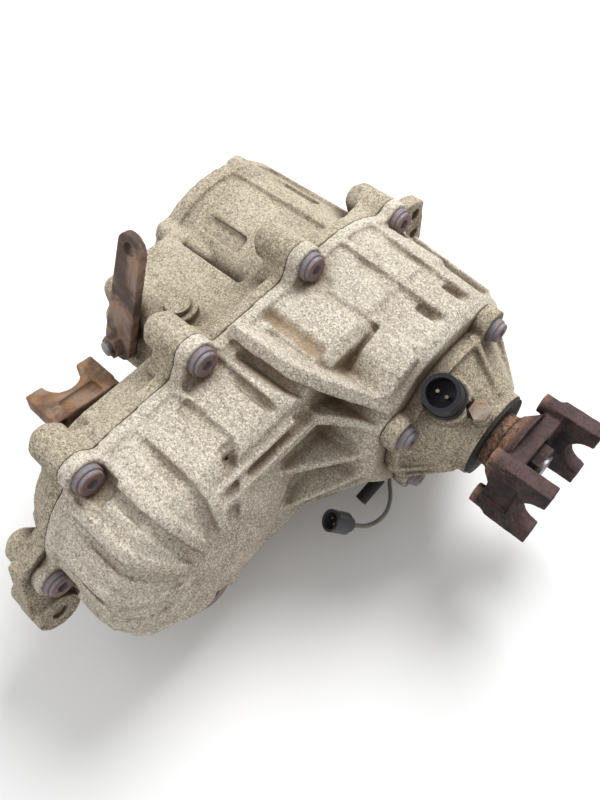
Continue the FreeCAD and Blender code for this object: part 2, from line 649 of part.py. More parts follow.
def rear_retainer():
    x = X_TOWER
    flange = retainer_flange(x, x + RET_FLANGE)
    shell = turned([(x, 0), (x, 54), (x + RET_FLANGE, 52), (x + 22, 42),
                    (x + 34, 34), (x + 38, RET_NOSE_R), (X_RET_END, RET_NOSE_R),
                    (X_RET_END, 0)])
    extra = [shell, radial_cyl(SENSOR_X, SENSOR_DEG, 20, SENSOR_BOSS_TOP, SENSOR_R + 4)]
    extra.append(radial_cyl(HOLD_X, HOLD_DEG, 20, HOLD_TOP, 7.2))
    for deg in (20, 75, 190, 215, 285, 335):
        extra.append(radial_rib([(x + 4, 40), (x + 4, 60), (x + RET_FLANGE, 58),
                                 (x + 36, 34), (x + 36, 26)], deg, 4.5))
    shape = fuse(flange, *extra)
    flat = radial_cyl(SENSOR_X, SENSOR_DEG, SENSOR_BOSS_TOP, SENSOR_BOSS_TOP + 10,
                      SENSOR_COLLAR_R + 1.0)
    bore = turned([(x - 1, 0), (x - 1, REAR_BRG_R - 2), (x + 12, REAR_BRG_R - 2),
                   (x + 24, 34), (x + 32, REAR_SEAL_R), (X_RET_END + 1, REAR_SEAL_R),
                   (X_RET_END + 1, 0)])
    tools = [bore, flat, radial_cyl(SENSOR_X, SENSOR_DEG, 22, SENSOR_BOSS_TOP + 5, SENSOR_R)]
    tools.append(radial_cyl(HOLD_X, HOLD_DEG, HOLD_TOP - 13, HOLD_TOP + 1, 3.0))
    tools.append(radial_cyl(HOLD_X, HOLD_DEG, HOLD_TOP, HOLD_TOP + 12, 8.0))
    for deg in RET_ANGLES:
        y, z = polar(RET_PCD / 2, deg)
        tools.append(cyl(x - 1, x + RET_FLANGE + 1, RET_BOLT_R + 0.4, y, z))
        tools.append(cyl(x + RET_FLANGE, x + RET_FLANGE + 12, RET_HEAD_R + 1.2, y, z))
    put("rear_retainer", "case", cut(shape, *tools))


def fasteners():
    split = []
    for y, z in SPLIT_BOLTS:
        split.append(flange_bolt(X_SPLIT + LUG_H, BOLT_LEN, BOLT_R, BOLT_HEAD_R,
                                 BOLT_HEAD_H, y, z))
    put("split_flange_bolts", "case", *split)
    ret = []
    for deg in RET_ANGLES:
        y, z = polar(RET_PCD / 2, deg)
        ret.append(flange_bolt(X_TOWER + RET_FLANGE, 26.0, RET_BOLT_R, RET_HEAD_R,
                               6.5, y, z))
    put("retainer_bolts", "case", *ret)
    put("oil_plugs", "case", plug(PLUG_FACE, 1.0, DRAIN_YZ), plug(FILL_FACE, -1.0, FILL_YZ))
    ey, ez = EAR_STUD_YZ
    put("pad_stud", "case", cyl(X_SPLIT - 26, X_SPLIT + 3, EAR_STUD_R, ey, ez))


def plug(face, way, yz):
    """Threaded plug with a flange and a hexagon socket, facing along way."""
    def span(a, b):
        return min(face + way * a, face + way * b), max(face + way * a, face + way * b)
    body = cyl(*span(-12, 0), PLUG_R, *yz)
    head = cyl(*span(0, 2.5), PLUG_R + 3, *yz)
    lo, hi = span(-6, 4)
    return body.fuse(head).cut(hex_head(lo, hi - lo, 8.0, *yz))


def toothed_bore(x0, x1, r, n, depth):
    w = gear_wire(x0, n, r + depth, r, 1.6, 2.2)
    return Part.Face(w).extrude(V(x1 - x0, 0, 0))


def bearing(name, x, r_in, r_out, y, body):
    """Outer race with its cage stays in the case; the inner race turns."""
    step = (r_out - r_in) * 0.27
    outer = ring(x, x + BEARING_W, r_out, r_out - step, y)
    cage = ring(x + 3, x + BEARING_W - 3, r_out - step, r_in + step + RUN, y)
    put(name + "_outer", "case", outer.fuse(cage))
    put(name + "_inner", body, ring(x, x + BEARING_W, r_in + step, r_in, y))


def input_side():
    # front bearing cover, its seal and the input gear with the sun teeth
    cover = turned([(X_FACE, 34), (X_FACE, INPUT_RET_R - AIR), (INPUT_RET_X1, INPUT_RET_R - AIR),
                    (INPUT_RET_X1, INPUT_BRG_R - 1), (X_INPUT_BRG, INPUT_BRG_R - 1),
                    (X_INPUT_BRG, 37), (10, 37), (10, 34)])
    holes = []
    screws = []
    for i in range(5):
        y, z = polar(48.0, 72 * i + 20)
        holes.append(cyl(-1, INPUT_RET_X1 + 1, 3.4, y, z))
        holes.append(cyl(-1, 6.0, 6.5, y, z))
        s = cyl(6.0, INPUT_RET_X1, 3.0, y, z).fuse(hex_head(1.0, 5.0, 9.0, y, z))
        screws.append(s)
    put("input_bearing_cover", "case", cut(cover, *holes))
    put("input_cover_screws", "case", *screws)
    put("input_oil_seal", "case", turned([(1, INPUT_R + RUN), (1, 34), (9, 34),
                                          (9, 30), (3, 30), (3, INPUT_R + 2.5),
                                          (8, INPUT_R + RUN)]))
    bearing("input_bearing", X_INPUT_BRG, INPUT_R + 1, INPUT_BRG_R, 0.0, "input")
    shaft = turned([(2, 0), (2, INPUT_R), (X_INPUT_BRG, INPUT_R),
                    (X_INPUT_BRG, INPUT_R + 1), (X_INPUT_BRG + BEARING_W, INPUT_R + 1),
                    (X_GEARS, INPUT_R + 1), (X_GEARS, 26), (X_GEARS + GEAR_W, 26),
                    (X_GEARS + GEAR_W + 8, 25), (X_GEARS + GEAR_W + 8, 0)])
    sun = gear(X_GEARS, X_GEARS + GEAR_W, SUN_TEETH, SUN_R + 0.8 * MODULE,
               SUN_R - 1.15 * MODULE, 1.7, 5.1, phase=180.0 / SUN_TEETH)
    bore = toothed_bore(0, X_GEARS + 2, SPLINE_R - 1.2, 23, 1.8)
    pilot = cyl(X_GEARS + 1, X_GEARS + GEAR_W + 10, 13.0)
    lead_in = cyl(1, 2 + LEAD_IN_LEN, LEAD_IN_R)
    put("input_gear", "input", shaft.fuse(sun).cut(bore.fuse([pilot, lead_in])))


def planet_angle(i):
    return 360.0 * i / PLANETS


def planetary():
    tip = RING_R - 0.8 * MODULE
    root = RING_R + 1.15 * MODULE
    ring_gear = cyl(X_GEARS - 1, X_GEARS + GEAR_W + 1, GEAR_BAY_R)
    # tooth spaces of the ring line up with the planet at each station
    space = gear(X_GEARS - 2, X_GEARS + GEAR_W + 2, RING_TEETH, root, tip, 2.4, 5.4,
                 phase=0.0)
    put("annulus_gear", "case", ring_gear.cut(space))
    for i in range(PLANETS):
        a = planet_angle(i)
        y, z = polar(PLANET_ORBIT, a)
        phase = a
        g = gear(X_GEARS + AIR, X_GEARS + GEAR_W - AIR, PLANET_TEETH,
                 PLANET_R + 0.8 * MODULE, PLANET_R - 1.15 * MODULE, 1.3, 4.3,
                 y, z, phase)
        put("planet_gear_%d" % (i + 1), "planet_%d" % (i + 1),
            g.cut(cyl(0, 200, 4.0 + RUN, y, z)))
    x0 = X_GEARS - 5
    x1 = X_GEARS + GEAR_W + 2
    front = ring(x0, x0 + 4, 53, INPUT_R + 3)
    back = ring(x1, x1 + 5, 50, 29)
    pins = []
    for i in range(PLANETS):
        y, z = polar(PLANET_ORBIT, planet_angle(i))
        pins.append(cyl(x0, x1 + 5, 4.0, y, z))
    posts = []
    for i in range(PLANETS):
        y, z = polar(PLANET_ORBIT + 1, planet_angle(i) + 45)
        posts.append(cyl(x0 + 4, x1, 5.0, y, z))
    put("planet_carrier", "carrier", front.fuse([back] + pins + posts))


def hub(x0, w, r_out, r_in, groove_x, groove_w):
    s = turned([(x0, r_in), (x0, r_out), (groove_x, r_out), (groove_x, r_out - 4),
                (groove_x + groove_w, r_out - 4), (groove_x + groove_w, r_out),
                (x0 + w, r_out), (x0 + w, r_in)])
    return s


def main_line():
    # mainshaft, from the pilot in the input gear to the rear yoke
    x = X_PUMP
    nut_face = REAR_TIP - EAR_DEPTH - NUT_SINK
    shaft = turned([(X_GEARS + 4, 0), (X_GEARS + 4, 13 - RUN),
                    (X_GEARS + GEAR_W + 9, 13 - RUN), (X_GEARS + GEAR_W + 9, MAIN_R + 2),
                    (X_SPROCKET - 2, MAIN_R + 2), (X_SPROCKET - 2, MAIN_R + 5),
                    (X_SPROCKET, MAIN_R + 5), (X_SPROCKET, MAIN_R),
                    (X_REAR_BRG + BEARING_W + 12, MAIN_R),
                    (X_REAR_BRG + BEARING_W + 12, 14),
                    (nut_face, 14), (nut_face, THREAD_R),
                    (nut_face + NUT_H + 2, THREAD_R), (nut_face + NUT_H + 2, 0)])
    put("mainshaft", "output", shaft)
    put("drive_sprocket", "output", sprocket(0.0))
    bearing("rear_bearing", X_REAR_BRG, MAIN_R, REAR_BRG_R, 0.0, "output")
    put("pump_rotor", "output", gear(x + 1, x + PUMP_W - 1, 6, 30, 24, 7, 14).cut(
        cyl(0, LINE_END, MAIN_R)))
    put("pump_housing", "case", ring(x, x + PUMP_W, PUMP_R, 32).fuse(
        ring(x, x + 0.8, PUMP_R, MAIN_R + 3)))
    put("tone_wheel", "output", gear(SENSOR_X - 3, SENSOR_X + 3, 20, 26.5, 23, 3.6, 5.0)
        .cut(cyl(0, LINE_END, 14)))
    put("rear_oil_seal", "case", turned([(X_RET_END - SEAL_W, YOKE_HUB_R + RUN),
                                         (X_RET_END - SEAL_W, REAR_SEAL_R),
                                         (X_RET_END, REAR_SEAL_R),
                                         (X_RET_END, RET_NOSE_R - 1.5),
                                         (X_RET_END + 2, RET_NOSE_R - 1.5),
                                         (X_RET_END + 2, YOKE_HUB_R + RUN)]))
    rx = X_RANGE_HUB
    sleeve = hub(rx, 12.0, 40, MAIN_R + 2 + RUN, rx + 4, 4.0)
    put("range_hub", "range_hub", sleeve)
    mx = X_MODE_HUB
    put("mode_hub", "mode_hub", hub(mx, 10.0, 38, MAIN_R + 2 + RUN, mx + 3, 4.0))


def sprocket(y):
    tip = PITCH_R + TOOTH_TIP
    s = gear(X_SPROCKET, X_SPROCKET + SPROCKET_W, TEETH, tip, PITCH_R - 4.2, 3.6, 7.6, y)
    hub_r = 24.0
    s = s.cut(ring(X_SPROCKET - 1, X_SPROCKET + 9, PITCH_R - 10, hub_r, y))
    s = s.cut(ring(X_SPROCKET + SPROCKET_W - 9, X_SPROCKET + SPROCKET_W + 1,
                   PITCH_R - 10, hub_r, y))
    bore = MAIN_R if y == 0.0 else FRONT_SHAFT_R
    return s.cut(cyl(0, LINE_END, bore, y))


def chain():
    """Closed loop of link blocks that pass clear of the tooth tips."""
    r_in = PITCH_R + TOOTH_TIP + TIP_AIR
    r_out = r_in + CHAIN_T
    pitch_run = CHAIN_PITCH
    total = LINKS * pitch_run
    rc = PITCH_R
    straight = SHAFT_OFFSET
    arc = math.pi * rc
    links = []
    span = 2 * straight + 2 * arc
    for i in range(LINKS):
        s = (i + 0.5) * span / LINKS
        if s < straight:
            y, ang = -s, 90.0
        elif s < straight + arc:
            y, ang = FRONT_Y, 90.0 + math.degrees((s - straight) / rc)
        elif s < 2 * straight + arc:
            y, ang = FRONT_Y + (s - straight - arc), 270.0
        else:
            y, ang = 0.0, 270.0 + math.degrees((s - 2 * straight - arc) / rc)
        h = span / LINKS / 2.0 - 0.25
        body = poly([(X_SPROCKET + 1, y + r_in, -h), (X_SPROCKET + 1, y + r_out - 1, -h),
                     (X_SPROCKET + 1, y + r_out, -h * 0.6),
                     (X_SPROCKET + 1, y + r_out, h * 0.6),
                     (X_SPROCKET + 1, y + r_out - 1, h), (X_SPROCKET + 1, y + r_in, h)])
        links.append(about_x(body.extrude(V(SPROCKET_W - 2, 0, 0)), ang, y))
    pin_r = 1.4
    put("drive_chain", "case", *links)
    return total, pin_r


def between(p, q):
    return min(p, q), max(p, q)


def yoke(x_hub, x_tip, reach, phase, y, bore_r):
    """End yoke: splined hub, bridge, two ears with half-round cap seats."""
    way = 1.0 if x_tip > x_hub else -1.0
    base0 = x_tip - way * reach
    base1 = x_tip - way * EAR_DEPTH
    ear_out = EAR_MID + EAR_T / 2.0
    ear_in = EAR_MID - EAR_T / 2.0

    def box(a, b, t0, t1, half):
        lo, hi = between(a, b)
        return Part.makeBox(hi - lo, t1 - t0, 2 * half, V(lo, y + t0, -half))

    lo, hi = between(x_hub, base1)
    s = cyl(lo, hi, YOKE_HUB_R, y)
    mid = (base0 + base1) / 2.0
    lo, hi = between(base0, mid)
    radii = (YOKE_HUB_R + 2, 30) if way > 0 else (30, YOKE_HUB_R + 2)
    s = s.fuse([cone(lo, hi, radii[0], radii[1], y),
                box(mid, base1, -ear_out + 2, ear_out - 2, 20)])
    lo, hi = between(base0 + way * 3, base1)
    for side in (-1, 1):
        t0, t1 = between(side * ear_in, side * ear_out)
        ear = box(mid - way * 2, x_tip, t0, t1, PRONG_OUT)
        corners = []
        for e in ear.Edges:
            m = e.CenterOfMass
            if abs(m.x - (mid - way * 2)) < 0.1 and abs(abs(m.z) - PRONG_OUT) < 0.1:
                corners.append(e)
        s = s.fuse(ear.makeChamfer(7.0, corners))
        for u in (-STRAP_BOLT, STRAP_BOLT):
            s = s.fuse(cyl(lo, hi, 6.8, y + side * (EAR_MID - 1), u))
    seat = x_tip - way * SEAT_SET
    lo, hi = between(base0 + way * 5, x_tip - way * (CAP_R + 5))
    pockets = []
    for side in (-1, 1):
        t0, t1 = between(side * (ear_out - POCKET_DOWN), side * (ear_out + 2))
        pockets.append(box(lo, hi, t0, t1, PRONG_OUT - 12))
    tools = pockets + [Part.makeCylinder(CAP_R, 2 * ear_out + 4, V(seat, y - ear_out - 2, 0),
                               V(0, 1, 0))]
    lo, hi = between(base0 - way, x_tip + way)
    for side in (-1, 1):
        for u in (-STRAP_BOLT, STRAP_BOLT):
            tools.append(cyl(lo, hi, STRAP_HOLE_R, y + side * EAR_MID, u))
    lo, hi = between(x_hub - way, x_tip + way)
    tools.append(cyl(lo, hi, bore_r, y))
    lo, hi = between(base1 - way * NUT_SINK, base1 + way)
    tools.append(cyl(lo, hi, NUT_ACROSS / 2 + 4, y))
    return about_x(s.cut(tools).removeSplitter(), phase, y)


def yoke_nut(x_tip, way, bore, y):
    lo, hi = between(x_tip - way * (EAR_DEPTH + NUT_SINK),
                     x_tip - way * (EAR_DEPTH + NUT_SINK - NUT_H))
    return hex_head(lo, hi - lo, NUT_ACROSS, y, 0.0).cut(cyl(lo - 1, hi + 1, bore, y))


def yokes():
    put("rear_yoke", "output", yoke(X_RET_END - SEAL_W - 2, REAR_TIP, REAR_REACH,
                                    REAR_YOKE_PHASE, 0.0, 14.0))
    put("rear_yoke_nut", "output", yoke_nut(REAR_TIP, 1.0, THREAD_R, 0.0))
    put("front_yoke", "front", yoke(NOSE_X + 12, FRONT_TIP, FRONT_REACH,
                                    FRONT_YOKE_PHASE, FRONT_Y, 13.0))
    put("front_yoke_nut", "front", yoke_nut(FRONT_TIP, -1.0, THREAD_R, FRONT_Y))


def front_output():
    x1 = X_REAR_FACE + 2
    face = FRONT_TIP + EAR_DEPTH + NUT_SINK
    end = face - NUT_H - 2
    prof = [(end, 0), (end, THREAD_R), (face, THREAD_R),
            (face, 13), (NOSE_X + 12, 13),
            (NOSE_X + 12, FRONT_SHAFT_R), (X_SPROCKET + SPROCKET_W, FRONT_SHAFT_R),
            (X_SPROCKET + SPROCKET_W, 19), (X_SPROCKET + SPROCKET_W + 5, 19),
            (X_SPROCKET + SPROCKET_W + 5, 15), (x1, 15), (x1, 0)]
    put("front_output_shaft", "front", turned(prof, FRONT_Y))
    put("driven_sprocket", "front", sprocket(FRONT_Y))
    bearing("front_bearing", X_FRONT_BRG, FRONT_SHAFT_R, FRONT_BRG_R, FRONT_Y, "front")
    put("rear_needle_cup", "case", ring(X_BAY_END, X_REAR_FACE + 3, CUP_R, 15 + RUN,
                                        FRONT_Y))
    put("front_oil_seal", "case", ring(NOSE_X + 1, NOSE_X + 9, FRONT_SEAL_R,
                                       YOKE_HUB_R + RUN, FRONT_Y))
    sl = turned([(NOSE_X - 5, YOKE_HUB_R), (NOSE_X - 5, 36), (NOSE_X - 1, 40),
                 (NOSE_X - 1, 38), (NOSE_X - 3, 34), (NOSE_X - 3, YOKE_HUB_R)], FRONT_Y)
    put("dust_slinger", "front", sl)


def lever_frame(shape):
    """Carries a plate drawn in X-Z with its pivot at 0,0,0 onto the shift shaft."""
    out = shape.copy()
    out.rotate(V(0, 0, 0), X_AXIS, -SHIFT_TILT)
    out.translate(V(SHIFT_X, SHIFT_Y, SHIFT_Z))
    return out


def shift_parts():
    # lever: flat bar with round ends, oval linkage hole, seen from the driver side
    a = math.radians(LEVER_LEAN)
    hx = LEVER_LEN * math.sin(a)
    hz = LEVER_LEN * math.cos(a)
    w0, w1 = 12.5, 10.0
    k = (w0 - w1) / LEVER_LEN
    bar = poly([(-w0 * math.cos(a), 0, w0 * math.sin(a)),
                (hx - w1 * math.cos(a), 0, hz + w1 * math.sin(a)),
                (hx + w1 * math.cos(a), 0, hz - w1 * math.sin(a)),
                (w0 * math.cos(a), 0, -w0 * math.sin(a))]).extrude(V(0, LEVER_T, 0))
    eye0 = Part.makeCylinder(w0, LEVER_T, V(0, 0, 0), V(0, 1, 0))
    eye1 = Part.makeCylinder(w1, LEVER_T, V(hx, 0, hz), V(0, 1, 0))
    lever = bar.fuse([eye0, eye1]).removeSplitter()
    lever = lever.cut(Part.makeCylinder(EYE_R, 20, V(hx, -5, hz), V(0, 1, 0)))
    lever = lever.cut(Part.makeCylinder(5.0, 20, V(0, -5, 0), V(0, 1, 0)))
    put("shift_lever", "shift", lever_frame(lever))
    # shift shaft: stud end, body through the boss, selector plate inside the pocket
    shaft = shift_cyl(-44.0, -LEVER_T, SHIFT_SHAFT_R)
    stud = shift_cyl(-LEVER_T - 1, 9.0, 5.0)
    sector = poly([(-9, 0, -9), (9, 0, -9), (15, 0, 1), (11, 0, 10), (-11, 0, 10),
                   (-15, 0, 1)]).extrude(V(0, 5.0, 0))
    sector.translate(V(0, 39.0, 0))
    sector = lever_frame(sector)
    put("shift_shaft", "shift", shaft.fuse([stud, sector]))
    hexa = poly([(8.2 * math.cos(math.radians(60 * i)), -6.0,
                  8.2 * math.sin(math.radians(60 * i))) for i in range(6)])
    hexa = hexa.extrude(V(0, 6.0, 0)).cut(
        Part.makeCylinder(5.0, 20, V(0, -10, 0), V(0, 1, 0)))
    put("lever_nut", "shift", lever_frame(hexa))
    rail = cyl(12.0, X_BAY_END - 33, RAIL_R, RAIL_Y, RAIL_Z)
    put("shift_rail", "case", rail)
    put("range_fork", "range_fork", fork(X_RANGE_HUB + 4.4, 3.2, 40, 16.0))
    put("mode_fork", "mode_fork", fork(X_MODE_HUB + 3.4, 3.2, 38, 10.0))
    ball = turned([polar(4.8, 30 * i, DETENT_X, 0) for i in range(7)], RAIL_Y,
                  RAIL_Z + RAIL_R + 4.9)
    put("detent_ball", "case", ball)
    low = RAIL_Z + RAIL_R + 9.9
    high = DETENT_TOP - 7.0
    spring = Part.makeCylinder(4.2, high - low, V(DETENT_X, RAIL_Y, low))
    spring = spring.cut(Part.makeCylinder(3.0, high, V(DETENT_X, RAIL_Y, low - 1)))
    put("detent_spring", "case", spring)
    screw = Part.makeCylinder(5.0, 7.0, V(DETENT_X, RAIL_Y, high))
    head = Part.makeCylinder(8.0, 3.5, V(DETENT_X, RAIL_Y, DETENT_TOP))
    put("detent_plug", "case", screw.fuse(head))


def fork(x, t, hub_r, tail):
    """Fork: ring sleeve on the rail, arm, and a half-round shoe in the groove."""
    sleeve = ring(x - tail / 2, x + tail / 2, RAIL_R + 4, RAIL_R + RUN, RAIL_Y, RAIL_Z)
    shoe = ring(x, x + t, hub_r + 7, hub_r - 3.4)
    # keep the half of the shoe that faces the rail
    a = math.degrees(math.atan2(RAIL_Z, RAIL_Y))
    half = Part.makeBox(t + 2, 200, 200, V(x - 1, 0, -100))
    half = about_x(half, a)
    shoe = shoe.common(half)
    d = math.hypot(RAIL_Y, RAIL_Z)
    arm = Part.makeBox(t, d - RAIL_R - 4 - hub_r, 20, V(x, hub_r + 3, -10))
    arm = about_x(arm, a)
    return sleeve.fuse([shoe, arm.cut(cyl(0, 300, RAIL_R + 2, RAIL_Y, RAIL_Z))])


def cord_tube(route, r):
    """Straight runs joined by tangent arcs; prints each arc's radius."""
    pts = [V(*p) for p in route]
    edges = []
    radii = []
    start = pts[0]
    length = 0.0
    for a, b, c in zip(pts, pts[1:], pts[2:]):
        u = (b - a)
        w = (c - b)
        short = min(u.Length, w.Length)
        u.normalize()
        w.normalize()
        turn = math.acos(max(-1.0, min(1.0, u.dot(w))))
        reach = 0.45 * short
        radius = reach / math.tan(turn / 2.0)
        p = b - u * reach
        q = b + w * reach
        n = (w - u)
        n.normalize()
        mid = b + n * (radius / math.cos(turn / 2.0) - radius)
        edges.append(Part.LineSegment(start, p).toShape())
        edges.append(Part.Arc(p, mid, q).toShape())
        length += (p - start).Length + radius * turn
        radii.append(round(radius, 1))
        start = q
    edges.append(Part.LineSegment(start, pts[-1]).toShape())
    length += (pts[-1] - start).Length
    path = Part.Wire(edges)
    ring_wire = Part.Wire([Part.makeCircle(r, pts[0], pts[1] - pts[0])])
    tube = path.makePipeShell([ring_wire], True, False)
    section = math.pi * r * r
    print("cord length %.1f radii %s volume %.1f of %.1f" % (
        length, radii, tube.Volume, section * length))
    return tube


def sensor_pins():
    low = SENSOR_BOSS_TOP + 9
    return [radial_cyl(SENSOR_X + dx, SENSOR_DEG, low, low + 7, 1.1) for dx in (-3.2, 3.2)]


def vent_and_switch():
    # indicator switch screwed radially into the underside of the tower
    x = SWITCH_X
    a = math.radians(SWITCH_DEG)
    d = V(0, math.cos(a), math.sin(a))
    body = radial_cyl(x, SWITCH_DEG, 62.0, SWITCH_TOP - 14.0, 5.0)
    hexa = plate_yz([polar(9.0, 60 * i) for i in range(6)], 0, 7.0)
    hexa.rotate(V(0, 0, 0), V(0, 1, 0), -90)
    hexa.rotate(V(0, 0, 0), X_AXIS, SWITCH_DEG - 90)
    hexa.translate(V(x, 0, 0) + d * (SWITCH_TOP - 14.0))
    cap = radial_cyl(x, SWITCH_DEG, SWITCH_TOP - 7.0, SWITCH_TOP, 5.5)
    put("indicator_switch", "case", body.fuse([hexa, cap]))
    put("pigtail_lead", "case", cord_tube(LEAD_ROUTE, LEAD_R))
    # two-pin connector on the end of the lead, mouth away from the lead
    p = V(*LEAD_ROUTE[-1])
    w = p - V(*LEAD_ROUTE[-2])
    w.normalize()
    shell = Part.makeCylinder(5.5, 5.0, p, w)
    shell = shell.fuse(Part.makeCylinder(8.0, CONNECTOR_LEN - 5.0, p + w * 5.0, w))
    shell = shell.cut(Part.makeCylinder(6.2, 12.0, p + w * (CONNECTOR_LEN - 10.0), w))
    side = w.cross(V(0, 0, 1))
    side.normalize()
    up = side.cross(w)
    latch = Part.makeCylinder(1.6, 9.0, p + w * (CONNECTOR_LEN - 9.0) + up * 8.6, w)
    put("pigtail_connector", "case", shell.fuse(latch))
    terms = []
    for off in (-2.4, 2.4):
        q = p + w * (CONNECTOR_LEN - 10.0) + side * off
        terms.append(Part.makeCylinder(0.9, 7.0, q, w))
    put("terminal_pins", "case", *(sensor_pins() + terms))
    # breather barb low on the tower, with its short hose
    put("vent_barb", "case", rod(vent_point(-8.0), vent_point(14.0), BARB_R))
    run = math.dist(VENT_ROOT, VENT_END)
    hose = rod(vent_point(HOSE_START), vent_point(run), HOSE_R)
    put("vent_hose", "case", hose.cut(rod(vent_point(0.0), vent_point(run + 1), BARB_R)))


def oil_and_sensing():
    # pickup: tube from the pump down to a strainer lying in the sump
    x = X_BAY_END - 4.5
    tube = rod((x, -20, -33), (x, -46, -57), 3.5)
    tube = tube.fuse([rod((x, -20, -33), (X_PUMP, -20, -33), 3.5),
                      Part.makeSphere(3.5, V(x, -20, -33))])
    strainer = Part.makeBox(6.0, 34.0, 6.0, V(x - 3, -66, STRAINER_UP - BAY_R))
    put("oil_pickup", "case", tube.cut(strainer), strainer)
    put("magnet", "case", cyl(X_SPLIT - 6, X_SPLIT, MAGNET_R, MAGNET_Y,
                              MAGNET_R + MAGNET_AIR - BAY_R))
    # speed sensor on its boss, bolt on the smaller boss beside it
    body = radial_cyl(SENSOR_X, SENSOR_DEG, 28.5, SENSOR_BOSS_TOP, SENSOR_R - 0.2)
    collar = radial_cyl(SENSOR_X, SENSOR_DEG, SENSOR_BOSS_TOP, SENSOR_BOSS_TOP + 5,
                        SENSOR_COLLAR_R)
    head = radial_cyl(SENSOR_X, SENSOR_DEG, SENSOR_BOSS_TOP + 5, SENSOR_BOSS_TOP + 20, 11.6)
    well = radial_cyl(SENSOR_X, SENSOR_DEG, SENSOR_BOSS_TOP + 9, SENSOR_BOSS_TOP + 21, 9.0)
    put("speed_sensor", "case", body.fuse([collar, head]).cut(well))
    shank = radial_cyl(HOLD_X, HOLD_DEG, HOLD_TOP - 12, HOLD_TOP, 3.0)
    h = math.radians(HOLD_DEG)
    hx = plate_yz([polar(6.6, 60 * i) for i in range(6)], 0, 5.0)
    hx.rotate(V(0, 0, 0), V(0, 1, 0), -90)
    hx.rotate(V(0, 0, 0), X_AXIS, HOLD_DEG - 90)
    hx.translate(V(HOLD_X, HOLD_TOP * math.cos(h), HOLD_TOP * math.sin(h)))
    put("sensor_bolt", "case", shank.fuse(hx))
    vent_and_switch()


rear_case()
front_case()
rear_retainer()
fasteners()
input_side()
planetary()
main_line()
chain()
yokes()
front_output()
shift_parts()
oil_and_sensing()

os.makedirs("parts", exist_ok=True)
for name, shape in parts.items():
    shape.exportStep("parts/%s.step" % name)
total_volume = 0.0
for name, shape in sorted(parts.items()):
    n = len(shape.Solids)
    total_volume += shape.Volume
    print("%-22s %-12s solids %2d valid %s volume %.0f" % (
        name, bodies[name], n, shape.isValid(), shape.Volume))
print("nodes", len(parts), "volume", round(total_volume))
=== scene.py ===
import json
import math

import bmesh
import bpy
from mathutils import Matrix, Vector

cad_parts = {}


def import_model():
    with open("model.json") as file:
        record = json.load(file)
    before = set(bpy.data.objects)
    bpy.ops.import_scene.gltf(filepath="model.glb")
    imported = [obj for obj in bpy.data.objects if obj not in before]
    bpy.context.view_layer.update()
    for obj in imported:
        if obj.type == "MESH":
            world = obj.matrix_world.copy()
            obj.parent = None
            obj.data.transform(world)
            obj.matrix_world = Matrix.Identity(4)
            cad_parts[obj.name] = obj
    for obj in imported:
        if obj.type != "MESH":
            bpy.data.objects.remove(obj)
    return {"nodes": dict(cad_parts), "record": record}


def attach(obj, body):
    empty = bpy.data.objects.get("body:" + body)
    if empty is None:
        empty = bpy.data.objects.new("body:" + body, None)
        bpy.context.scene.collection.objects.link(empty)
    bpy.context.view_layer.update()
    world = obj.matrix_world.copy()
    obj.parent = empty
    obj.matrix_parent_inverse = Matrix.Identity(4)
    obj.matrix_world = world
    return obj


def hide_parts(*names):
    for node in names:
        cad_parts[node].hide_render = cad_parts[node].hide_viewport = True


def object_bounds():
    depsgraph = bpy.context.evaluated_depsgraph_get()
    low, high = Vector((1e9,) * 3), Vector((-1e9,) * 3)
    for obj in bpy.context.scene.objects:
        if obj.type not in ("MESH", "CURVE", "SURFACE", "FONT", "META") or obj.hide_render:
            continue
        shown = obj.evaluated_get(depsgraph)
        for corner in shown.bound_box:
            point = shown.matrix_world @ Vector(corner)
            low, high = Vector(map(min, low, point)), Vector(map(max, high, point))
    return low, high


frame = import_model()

CAD_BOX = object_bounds()
NODES = frame["nodes"]
BODY_OF = {n: b for b, ns in frame["record"]["behaviour"]["bodies"].items() for n in ns}
SLOT_OF = {s["node"]: s["material_slot"] for s in frame["record"]["subparts"]}

# Main sizes of the rear case half, in metres.
FRONT_LINE = -0.17145       # y of the front output's axis
SPLIT_X = 0.114             # joint between the two case halves
REAR_FACE_X = 0.174         # flat rear face of the chain bay
FACE_EDGE = 0.006           # chamfer round that face
FACE_DRAFT = 0.002          # taper of the bay's wall from joint to face
TOWER_R = 0.082             # tower's radius at the joint
TOWER_TIP_R = 0.074         # and at its tip
TOWER_TIP_X = 0.206
LOBE_R = 0.073              # radius round the front output

# Soft hollow beside the main buttress.
HOLLOW_X = (0.121, 0.168)
HOLLOW_Y = (-0.0700, -0.0590)
HOLLOW_EASE = 0.0035
HOLLOW_DEPTH = 0.0040
HOLLOW_FLOOR = 0.0705       # nothing below this height is pressed


# ---------------------------------------------------------------- colour and node helpers

def tone(r, g, b):
    """8-bit screen colour to the linear colour that a shader socket takes."""
    out = []
    for c in (r, g, b):
        c = c / 255.0
        out.append(c / 12.92 if c <= 0.04045 else ((c + 0.055) / 1.055) ** 2.4)
    return (out[0], out[1], out[2], 1.0)


